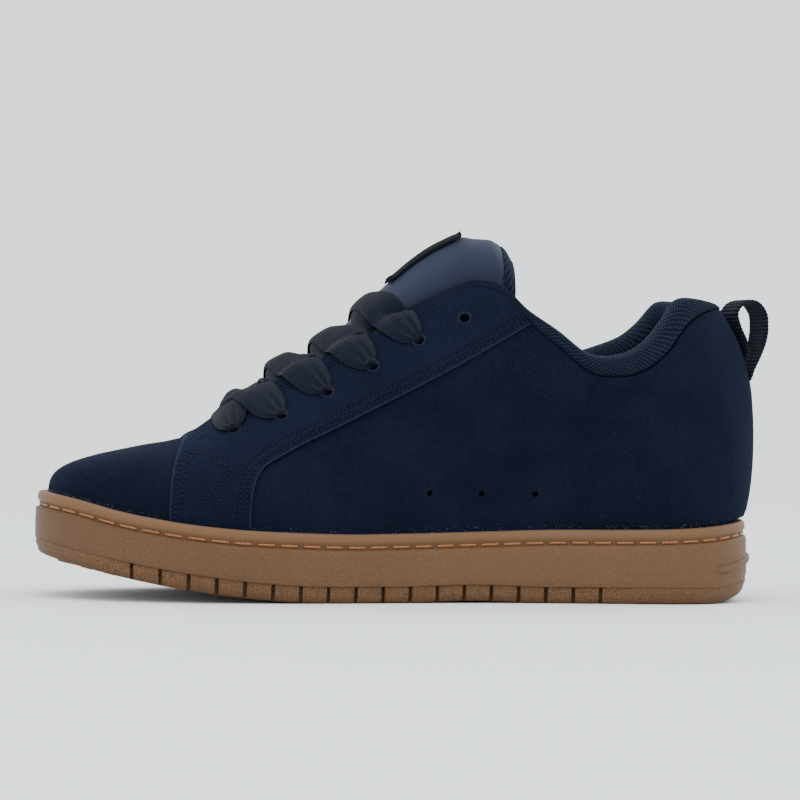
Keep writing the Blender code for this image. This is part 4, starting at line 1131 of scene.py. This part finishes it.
def lateral_lift(around, run):
    """On the lateral side the collar stands higher at the back and lower in front."""
    hump = COLLAR_HUMP * np.exp(-((run - HUMP_RUN) / HUMP_REACH) ** 2)
    dip = COLLAR_DIP * np.exp(-((run - DIP_RUN) / DIP_REACH) ** 2)
    return (around > 1) * (hump - dip)


def lay_collar(column, row):
    around = COLLAR_START + (2 - 2 * COLLAR_START) * column
    run = side_and_run(around)[1]
    pad = COLLAR.at("pad", run) * COLLAR_PAD
    share = COLLAR_ROUND.at("share", row)
    drop = share * COLLAR.at("drop", run) * COLLAR_DROP / wall_length(around)
    band = CLEARANCE + share * (COLLAR.at("band", run) * COLLAR_BAND + lateral_lift(around, run))
    depth = (UPPER_WALL + 2 * CLEARANCE + LINING_WALL * COLLAR_ROUND.at("wall", row)
             + COLLAR_ROUND.at("pad", row) * pad
             - COLLAR_ROUND.at("lip", row) * COLLAR.at("lip", run) * np.minimum(UPPER_WALL, pad))
    return wall_point(around, 1 + np.where(share < 0, drop, band), depth)


def knit_finish():
    """Open spacer knit: yarns round staggered slits, read from the piece's weave map. The slits are painted
    dark, as painted shade.
    """
    net = Finish("collar_knit", 0.9, Sheen_Weight=0.04, Sheen_Tint=(0.5, 0.6, 1.0, 1.0),
                 Specular_IOR_Level=0.08)
    stray = net.product(net.math("SUBTRACT", net.noise(STRAY_SCALE, 2.0), 0.5), KNIT_STRAY)
    across, along = (net.math("SINE", net.math("ADD", net.product(measure, 2 * math.pi / cell), stray))
                     for measure, cell in zip(net.weave(), (KNIT_WIDE, KNIT_TALL)))
    net_height = net.steps(net.product(across, along), SLIT_OPEN, SLIT_SHUT)
    fray = net.math("ADD", net.product(net.noise(FRAY_SCALE), 0.8), 0.6)
    # Colour runs from painted shade in the slits to the yarn's own colour on the loops, darkened at random
    # where it frays.
    net.paint(net.product(net_height, fray, clamp=True), KNIT_SLIT_SHADE, KNIT_YARN)
    net.bump((net_height, KNIT_DEPTH), (net.noise(YARN_SCALE), YARN_DEPTH))
    return net


collar_length = (1 - COLLAR_START) * outline_length
collar_knit = knit_finish()
grid = sheet(320, 60, lay_collar, collar_length, COLLAR_GIRTH)
ends = [edge for edge in grid.edges if edge.is_boundary]
bmesh.ops.holes_fill(grid, edges=ends, sides=0)
collar = add_piece("collar_knit", grid, collar_knit.material, "mesh_lining", "collar_lining", sharp=60)

# Tongue: thick foam under smooth textile, wings tucked under the eyestays. Its free end is
# bound in the collar's knit behind a sewn seam.
TONGUE_CROWN = 0.0240
TONGUE_SWELL = 0.16
TONGUE_PAD = 0.0160
TONGUE_SEAM = 0.915
SEAM_DEPTH, SEAM_WIDTH = 0.0003, 0.005
TONGUE_CORNER, CORNER_START = 0.07, 0.75
WING_THIN = 0.75
TONGUE_SIZE = (0.080, 0.150)
FINE_RATE, FINE_DEPTH = 14000.0, 0.00005
CLOTH_SCALE = 30.0
DRAPE_SCALE, DRAPE_DEPTH = 60.0, 0.0003
SLATE = (0.0098, 0.0134, 0.0335)
SLATE_LIT = (0.0128, 0.0170, 0.0410)

# By the tongue's own length: the upper's run beside it, where its wings start and end on the
# wall, its depth inside the wall, its crown and its pad
TONGUE = Sections(("along", "run", "low", "edge", "depth", "crown", "pad"), [
    (0.00, 0.262, 0.72, 0.90, 0.0032, 0.03, 0.16),
    (0.08, 0.300, 0.72, 0.92, 0.0032, 0.05, 0.24),
    (0.16, 0.342, 0.72, 0.98, 0.0030, 0.12, 0.32),
    (0.25, 0.385, 0.72, 1.00, 0.0030, 0.20, 0.38),
    (0.36, 0.440, 0.73, 1.00, 0.0030, 0.26, 0.42),
    (0.47, 0.490, 0.75, 1.00, 0.0050, 0.76, 0.50),
    (0.57, 0.535, 0.78, 1.00, 0.0086, 1.16, 0.62),
    (0.68, 0.580, 0.80, 1.00, 0.0094, 1.24, 0.74),
    (0.79, 0.618, 0.83, 1.00, 0.0106, 1.13, 0.84),
    (0.88, 0.647, 0.86, 1.00, 0.0124, 1.24, 0.80),
    (0.94, 0.663, 0.88, 1.00, 0.0140, 1.36, 0.58),
    (1.00, 0.673, 0.90, 1.00, 0.0165, 1.30, 0.22)])


def tongue_point(along, across, depth):
    """The tongue's outer face: across -1 and 1 are its wing edges, 0 its crown."""
    along, across, depth = np.broadcast_arrays(np.atleast_1d(along), across, depth)
    run, low = TONGUE.at("run", along), TONGUE.at("low", along)
    edge, inner = TONGUE.at("edge", along), TONGUE.at("depth", along)
    part = np.abs(across)
    side = np.where(across < 0, 1, -1)
    wing = wall_point(side * run, edge + (low - edge) * np.maximum(part - 0.5, 0) * 2, inner + depth)
    ends = [wall_point(end * run, edge, inner) for end in (1, -1)]
    gap = ends[0] - ends[1]
    reach = np.linalg.norm(gap, axis=-1)
    crown = np.maximum(0.0, TONGUE.at("crown", along) * TONGUE_CROWN - depth)
    turn = 2 * across
    round_share = np.minimum(2 * crown / reach, 1.0)
    width = turn + (np.sin(turn * np.pi / 2) - turn) * round_share
    height = (1 - turn * turn) * (1 - round_share) + np.cos(turn * np.pi / 2) * round_share
    swell = (1 + TONGUE_SWELL * crown / TONGUE_CROWN * np.sin(np.pi * np.abs(turn)) ** 2 - depth / reach)
    body = (ends[0] + ends[1]) / 2 - gap / 2 * (width * swell)[:, None]
    body[:, 2] += crown * height - depth * (1 - np.abs(turn))
    return np.where(part[:, None] >= 0.5, wing, body)


def lay_tongue(side):
    def lay(column, row):
        across = 2 * column - 1
        depth = side * TONGUE.at("pad", row) * TONGUE_PAD * (1 - WING_THIN * np.abs(across) ** 3)
        seam = SEAM_DEPTH * np.exp(-((row - TONGUE_SEAM) / SEAM_WIDTH) ** 2) * (side == 0)
        corner = TONGUE_CORNER * across ** 2 * ease(CORNER_START, 1.0, row)
        return tongue_point(row - corner, across, depth + seam)
    return lay


slate = Finish("tongue_textile", 0.6, Sheen_Weight=0.04, Sheen_Tint=(0.4, 0.55, 1.0, 1.0),
               Specular_IOR_Level=0.22)
slate.paint(slate.steps(slate.noise(CLOTH_SCALE, 4.0), 0.3, 0.7), SLATE, SLATE_LIT)
u, v = slate.weave()
fine_weave = slate.product(slate.wave(u, FINE_RATE), slate.wave(v, FINE_RATE))
slate.bump((fine_weave, FINE_DEPTH), (slate.noise(DRAPE_SCALE, 3.0), DRAPE_DEPTH))
grid = double(sheet(96, 150, lay_tongue(0.0), *TONGUE_SIZE), lay_tongue(1.0), 1)
tongue = add_piece("tongue_padded", grid, [slate.material, collar_knit.material], "tongue_textile", "tongue",
                   sharp=60)
seam_spots = lay_tongue(0.0)(np.linspace(0, 1, 201), TONGUE_SEAM) + SHIFT
for polygon in tongue.data.polygons:
    near = np.abs(seam_spots[:, 1] - polygon.center.y).argmin()
    if polygon.center.x > seam_spots[near, 0]:
        polygon.material_index = 1

# Tongue label: a blank strip of dense dark weave, sewn on at its sides and frayed at its ends
LABEL_START = 0.518
LABEL_SPAN = 0.20
LABEL_SIZE = (0.022, 0.030)
LABEL_REACH = 0.24
LABEL_THICKNESS = 0.0006
LABEL_STIFF = 0.0004
LABEL_CURL = 0.0003
LABEL_FRAY = 0.00012
FRAY_SHIFT = 0.0036
FRAY_SPAN = 0.06
FRAY_WAVES = (70, 40, 131)
RIB_RATES, LABEL_DEPTH = (9000.0, 12000.0), 0.00016
LABEL_SHADED = (0.004, 0.004, 0.006)
LABEL_LIT = (0.016, 0.017, 0.022)


def lay_label(height):
    def lay(column, row):
        ends = ease(FRAY_SPAN, 0.0, row) + ease(1 - FRAY_SPAN, 1.0, row)
        threads = np.sin(column * FRAY_WAVES[0] + row * FRAY_WAVES[1]) * ends
        along = LABEL_START + LABEL_SPAN * row + FRAY_SHIFT * threads * np.sin(column * FRAY_WAVES[2])
        across = (0.5 - column) * LABEL_REACH
        lift = LABEL_CURL * ends + LABEL_FRAY * threads + LABEL_STIFF * (2 * column - 1) ** 2
        return tongue_point(along, across, -height - lift)
    return lay


label_weave = Finish("label_weave", 0.92, Sheen_Weight=0.02, Specular_IOR_Level=0.06)
ribs = label_weave.product(*(label_weave.wave(*pair) for pair in zip(label_weave.weave(), RIB_RATES)))
# The ribs' grooves are painted darker than their tops: painted shade.
label_weave.paint(label_weave.steps(ribs, -0.5, 1.0), LABEL_SHADED, LABEL_LIT)
label_weave.bump((ribs, LABEL_DEPTH))
grid = double(sheet(60, 60, lay_label(CLEARANCE + LABEL_THICKNESS), *LABEL_SIZE), lay_label(CLEARANCE))
add_piece("tongue_label_weave", grid, label_weave.material, "label_weave", "tongue_label", sharp=50)

# Heel loop: ribbed webbing folded over and sewn down, to pull the shoe on with a finger
LOOP_WIDTH = 0.012
LOOP_THICKNESS = 0.0015
LOOP_TWIST = 0.0045
LOOP_SIZE = (0.066, LOOP_WIDTH)
LOOP_PITCH = 0.0004
EDGE_THIN = 0.6 * LOOP_THICKNESS
RIB_COUNT = 46
RIB_DEPTH = 0.0001
CORD_RATE, CORD_DEPTH = 4600.0, 0.00020
CROSS_RATE, CROSS_DEPTH = 7500.0, 0.00010
LOOP_SHADED = (0.0016, 0.0022, 0.0056)
LOOP_LIT = (0.0140, 0.0185, 0.0380)

# Middle of the strap from the seam on the heel, up, over and back down to the seam, seen from the
# side; both ends are tucked into the heel
LOOP_PATH = ((0.2985, 0.0990), (0.3012, 0.1045), (0.2992, 0.1110), (0.2962, 0.1175), (0.2950, 0.1232),
             (0.2982, 0.1275), (0.3035, 0.1279), (0.3071, 0.1242), (0.3082, 0.1165), (0.3064, 0.1065),
             (0.3042, 0.0990), (0.3030, 0.0945), (0.3001, 0.0915))
loop_path = smooth_path(LOOP_PATH, LOOP_PITCH)


def loop_centre(share):
    place = share * (len(loop_path) - 1)
    x, z = (np.interp(place, np.arange(len(loop_path)), column) for column in loop_path.T)
    return points(x, 0.0, z)


def lay_loop(offset):
    def lay(column, row):
        step = loop_centre(np.minimum(column + 0.01, 1.0)) - loop_centre(np.maximum(column - 0.01, 0.0))
        out = unit(points(-step[:, 2], 0.0, step[:, 0]))
        edge = EDGE_THIN * ease(0.35, 0.5, np.abs(row - 0.5)) ** 2
        rib = RIB_DEPTH * np.sin(column * 2 * np.pi * RIB_COUNT)
        thick = np.sign(offset) * (np.abs(offset) - edge * 0.4 + rib)
        turned = (0.5 - row) * LOOP_TWIST * ease(0.0, 0.2, column) * ease(0.98, 0.70, column)
        return loop_centre(column) + out * thick[:, None] + points(turned, (row - 0.5) * LOOP_WIDTH, 0)
    return lay


webbing = Finish("loop_webbing", 0.75, Sheen_Weight=0.02, Specular_IOR_Level=0.08)
u, v = webbing.weave()
cords, cross_cords = webbing.wave(u, CORD_RATE), webbing.wave(v, CROSS_RATE)
cord_shade = webbing.math("ADD", cords, webbing.product(cross_cords, 0.3))
# The cords' grooves are painted dark and their tops lit: painted shade and highlight.
webbing.paint(webbing.steps(cord_shade, -0.8, 1.2), LOOP_SHADED, LOOP_LIT)
webbing.bump((cords, CORD_DEPTH), (cross_cords, CROSS_DEPTH))
grid = double(sheet(240, 16, lay_loop(LOOP_THICKNESS / 2), *LOOP_SIZE), lay_loop(-LOOP_THICKNESS / 2))
add_piece("heel_loop_webbing", grid, webbing.material, "loop_webbing", "heel_loop", sharp=60)

# Laces: flat woven bands. A straight bar joins the lowest eyelets and a crossing of two bands
# follows at each pair above it, out of one eyelet and down under the far eyestay.
LACED_COUNT = 5
LACE_WIDTH = 0.0160
LACE_NECK = 0.0040
LACE_WALL = 0.0009
LACE_AXIS_DEPTH = 0.020
LACE_REACH = 0.034
LACE_COLUMNS, LACE_ROWS = 110, 40
STRAND_RATE, PICK_RATE, WOVEN_DEPTH = 5200.0, 7400.0, 0.00012
HAIR_SCALE, HAIR_DEPTH = 2500.0, 0.00008
LACE_SHADED = (0.0020, 0.0028, 0.0072)
LACE_LIT = (0.0095, 0.0125, 0.0265)

# Along a band, as shares of its length and depths: it sinks into its eyelet's rim, opens out, is
# gathered by its middle and dives under the far eyestay. It folds and puffs up by the eyelet, its
# edges are thinner, wave and droop, and the lowest bar bows forward
LACE_SINK, LACE_RIM = 0.0042, 0.014
LACE_OPENING = 0.19
LACE_GATHER, GATHER_START, GATHER_END = 0.24, 0.26, 0.50
DIVE_START, DIVE_END = 0.50, 0.72
LACE_FOLD, FOLD_REACH, FOLD_TURNS = 0.00050, 0.13, 11
LACE_PUFF, PUFF_PLACE, PUFF_REACH = 0.0020, 0.16, 0.13
LACE_EDGE = 0.75
LACE_WAVE, WAVE_TURNS, WAVE_RATE = 0.00022, 21, 900
LACE_DROOP = 0.0010
BAR_BOW = 0.003

# The bands rest on a height map read round a line under the throat, and arch over its middle
LACE_ARCH, ARCH_ALONG, ARCH_SPAN, ARCH_TURN = 0.0048, 0.040, 0.020, 0.5
MAP_LOW, MAP_HIGH, MAP_STEP = -0.030, 0.135, 0.0008
MAP_ANGLE, MAP_TURN = 1.75, 0.025
PROBE_FAR, PROBE_NEAR = 0.150, 0.004


def spread(heights, reach, widest):
    """Widen a height map's high spots by some cells, or blur it."""
    for axis in (0, 1):
        shifted = [np.roll(heights, step, axis) for step in range(-reach, reach + 1)]
        heights = np.max(shifted, axis=0) if widest else np.mean(shifted, axis=0)
    return heights


class Throat:
    """How far the pieces stand out from a line below the throat, as a map of along and angle."""

    def __init__(self, low_tree, high_tree):
        first, last = (wall_curve(*eyelets[number, -1])[0] for number in (0, EYELET_COUNT - 1))
        self.ahead = unit(points(last[0] - first[0], 0.0, last[2] - first[2]))
        self.up = points(-self.ahead[2], 0.0, self.ahead[0])
        self.start = first * (1, 0, 1) - self.up * LACE_AXIS_DEPTH
        self.alongs = np.arange(MAP_LOW, MAP_HIGH, MAP_STEP)
        self.angles = np.arange(-MAP_ANGLE, MAP_ANGLE, MAP_TURN)
        self.bare = self.read(low_tree)
        over = self.read(high_tree)
        self.open = over < PROBE_NEAR
        arch = np.outer(np.exp(-((self.alongs - ARCH_ALONG) / ARCH_SPAN) ** 2),
                        np.exp(-(self.angles / ARCH_TURN) ** 2))
        self.whole = np.maximum(self.bare, over) + LACE_ARCH * arch

    def out(self, angle):
        return self.up * np.cos(angle)[:, None] + points(0, np.sin(angle), 0)

    def read(self, tree):
        heights = np.zeros((len(self.alongs), len(self.angles)))
        outs = self.out(self.angles)
        for i, along in enumerate(self.alongs):
            axis = self.start + self.ahead * along + SHIFT
            for j, out in enumerate(outs):
                hit = tree.ray_cast(Vector(axis + out * PROBE_FAR), Vector(-out), PROBE_FAR - PROBE_NEAR)[3]
                heights[i, j] = 0.0 if hit is None else PROBE_FAR - hit
        return heights

    def cover(self, tree):
        """Later bands lie over this one too."""
        heights = self.read(tree)
        self.whole = np.maximum(self.whole, heights)
        self.bare = np.maximum(self.bare, np.where(self.open, heights, 0))

    def resting(self, heights, along, angle):
        """A band's resting height, read between the cells of a softened map."""
        soft = spread(spread(heights, 2, True), 2, False)
        i = np.clip((along - self.alongs[0]) / MAP_STEP, 0, len(self.alongs) - 1.001)
        j = np.clip((angle - self.angles[0]) / MAP_TURN, 0, len(self.angles) - 1.001)
        i_low, j_low = i.astype(int), j.astype(int)
        i_part, j_part = i - i_low, j - j_low
        near = soft[i_low, j_low] * (1 - i_part) + soft[i_low + 1, j_low] * i_part
        far = soft[i_low, j_low + 1] * (1 - i_part) + soft[i_low + 1, j_low + 1] * i_part
        return near * (1 - j_part) + far * j_part

    def locate(self, place):
        """Along and angle of a spot on the upper."""
        step = wall_curve(*place)[0] - self.start
        return step @ self.ahead, math.atan2(step[1], step @ self.up)


def lay_band(throat, start, end, both_out, face):
    """A band from one eyelet to another: out at its start, and at its end out too or under."""
    def lay(column, row):
        rising = np.minimum(column, 1 - column) if both_out else column
        open_share = np.clip((rising - LACE_RIM) / LACE_OPENING, 0, 1)
        width = LACE_NECK + (LACE_WIDTH - LACE_NECK) * np.sqrt(open_share * (2 - open_share))
        if not both_out:
            width = width * (1 - LACE_GATHER * ease(GATHER_START, GATHER_END, column))
        step = unit(points(end[0] - start[0], (end[1] - start[1]) * LACE_REACH, 0.0))
        half = (row - 0.5) * width
        along = start[0] + (end[0] - start[0]) * column + step[1] * half
        along = along + both_out * BAR_BOW * np.sin(math.pi * column)
        angle = start[1] + (end[1] - start[1]) * column - step[0] * half / LACE_REACH
        resting = throat.resting(throat.whole, along, angle)
        if not both_out:
            low = throat.resting(throat.bare, along, angle)
            resting = resting + (low - resting) * ease(DIVE_START, DIVE_END, column)
        side = 2 * row - 1
        folds = LACE_FOLD * np.exp(-(rising / FOLD_REACH) ** 2) * np.cos(side * FOLD_TURNS)
        folds = folds * ease(0.0, 0.02, rising)
        puff = LACE_PUFF * np.exp(-((rising - PUFF_PLACE) / PUFF_REACH) ** 2) * (1 - side * side)
        sink = LACE_SINK * ease(LACE_RIM * 1.6, 0.0, rising)
        edge = 1 - LACE_EDGE * np.abs(side) ** 8
        wave = LACE_WAVE * np.sin(column * WAVE_TURNS + start[0] * WAVE_RATE) * side
        droop = LACE_DROOP * side ** 4 * ease(0.2, 0.4, rising)
        height = (resting + CLEARANCE + LACE_WALL / 2 + folds + puff + wave - droop - sink
                  + face * edge * LACE_WALL / 2)
        return throat.start + throat.ahead * along[:, None] + throat.out(angle) * height[:, None]
    return lay


lace = Finish("lace_weave", 0.85, Sheen_Weight=0.06, Sheen_Roughness=0.4, Specular_IOR_Level=0.10)
u, v = lace.weave()
fold = lace.math("ABSOLUTE", v)
strands = lace.wave(lace.math("ADD", u, lace.product(fold, 1.2)), STRAND_RATE)
picks = lace.wave(lace.math("SUBTRACT", u, fold), PICK_RATE)
woven = lace.math("ADD", strands, lace.product(picks, 0.5))
# The weave's grooves are painted dark and its raised strands lit: painted shade and highlight.
lace.paint(lace.steps(woven, -1.2, 1.4), LACE_SHADED, LACE_LIT)
lace.bump((woven, WOVEN_DEPTH), (lace.noise(HAIR_SCALE), HAIR_DEPTH))

throat = Throat(surface(tongue), eyestay_tree)
places = {key: throat.locate(place) for key, place in eyelets.items()}


def add_band(name, start, end, both_out, node):
    length = math.hypot(end[0] - start[0], (end[1] - start[1]) * LACE_REACH)
    grid = sheet(LACE_COLUMNS, LACE_ROWS, lay_band(throat, start, end, both_out, 1.0), length, LACE_WIDTH)
    weave = grid.loops.layers.uv["weave"]
    for face in grid.faces:
        for loop in face.loops:
            loop[weave].uv.y -= LACE_WIDTH / 2
    double(grid, lay_band(throat, start, end, both_out, -1.0))
    band = add_piece(name, grid, lace.material, "lace_weave", node, sharp=60)
    bpy.context.view_layer.update()
    throat.cover(surface(band))


add_band("lace_bar", places[0, -1], places[0, 1], True, "lace_row_1")
for number in range(1, LACED_COUNT):
    for side, name in ((1, "lateral"), (-1, "medial")):
        add_band(f"lace_{name}_{number + 1}", places[number, side], places[number - 1, -side], False,
                 f"lace_row_{number + 1}")

# Floor: a plain pale sheet that fades out before its edge, so no rim shows
FLOOR_RADIUS = 3.0
FADE_START, FADE_END = 0.55, 2.4
PAPER = (0.80, 0.83, 0.845)
disc = bmesh.new()
bmesh.ops.create_circle(disc, cap_ends=True, segments=96, radius=FLOOR_RADIUS)
floor_mesh = bpy.data.meshes.new("floor")
disc.to_mesh(floor_mesh)
disc.free()
paper = Finish("floor_paper", 0.85, Specular_IOR_Level=0.1, Base_Color=(*PAPER, 1.0))
span = paper.node("ShaderNodeVectorMath", {0: paper.place()}, output="Value", operation="LENGTH")
paper.feed("Alpha", paper.steps(span, FADE_END, FADE_START))
floor_mesh.materials.append(paper.material)
floor = link("floor", floor_mesh)

# Light: a pale surround, a broad soft light above and weaker ones at the front and behind
SURROUND = (0.93, 0.985, 1.0)
SURROUND_STRENGTH = 1.7
LIT_HEIGHT = 0.07

# Each lamp's place from the shoe's middle, its size in metres and its power in watts
LAMPS = {"light_above": ((-0.3, -0.5, 1.5), 1.2, 13.0),
         "light_front": ((-1.0, -1.4, 0.7), 1.0, 4.0),
         "light_behind": ((1.1, 0.9, 0.9), 0.9, 7.0)}
world = bpy.data.worlds.new("studio")
world.use_nodes = True
surround = world.node_tree.nodes["Background"]
surround.inputs["Color"].default_value = (*SURROUND, 1.0)
surround.inputs["Strength"].default_value = SURROUND_STRENGTH
bpy.context.scene.world = world
shoe_middle = Vector((SHIFT[0] + SOLE_LENGTH / 2, 0.0, LIT_HEIGHT))
for name, (spot, size, power) in LAMPS.items():
    light = bpy.data.lights.new(name, "AREA")
    light.size = size
    light.energy = power
    lamp = link(name, light)
    lamp.location = shoe_middle + Vector(spot)
    lamp.rotation_euler = (-Vector(spot)).to_track_quat("-Z", "Y").to_euler()

# Camera: level with the shoe's middle, from the medial side and a little from the toe
VIEW_TURN = 7.5
VIEW_ROLL = 0.9
VIEW_DISTANCE = 1.150
VIEW_SPOT = (0.151, 0.075)
VIEW_LENS = 121.7
VIEW_SHIFT = (0.005, 0.0244)
lens = bpy.data.cameras.new("camera")
lens.sensor_width = 36.0
lens.lens = VIEW_LENS
lens.shift_x, lens.shift_y = VIEW_SHIFT
camera = link("camera", lens)
sight = Vector((math.sin(math.radians(VIEW_TURN)), math.cos(math.radians(VIEW_TURN)), 0))
camera.location = Vector((SHIFT[0] + VIEW_SPOT[0], 0.0, VIEW_SPOT[1])) - sight * VIEW_DISTANCE
roll = Matrix.Rotation(math.radians(VIEW_ROLL), 3, "Z")
camera.rotation_euler = (sight.to_track_quat("-Z", "Y").to_matrix() @ roll).to_euler()
bpy.context.scene.camera = camera
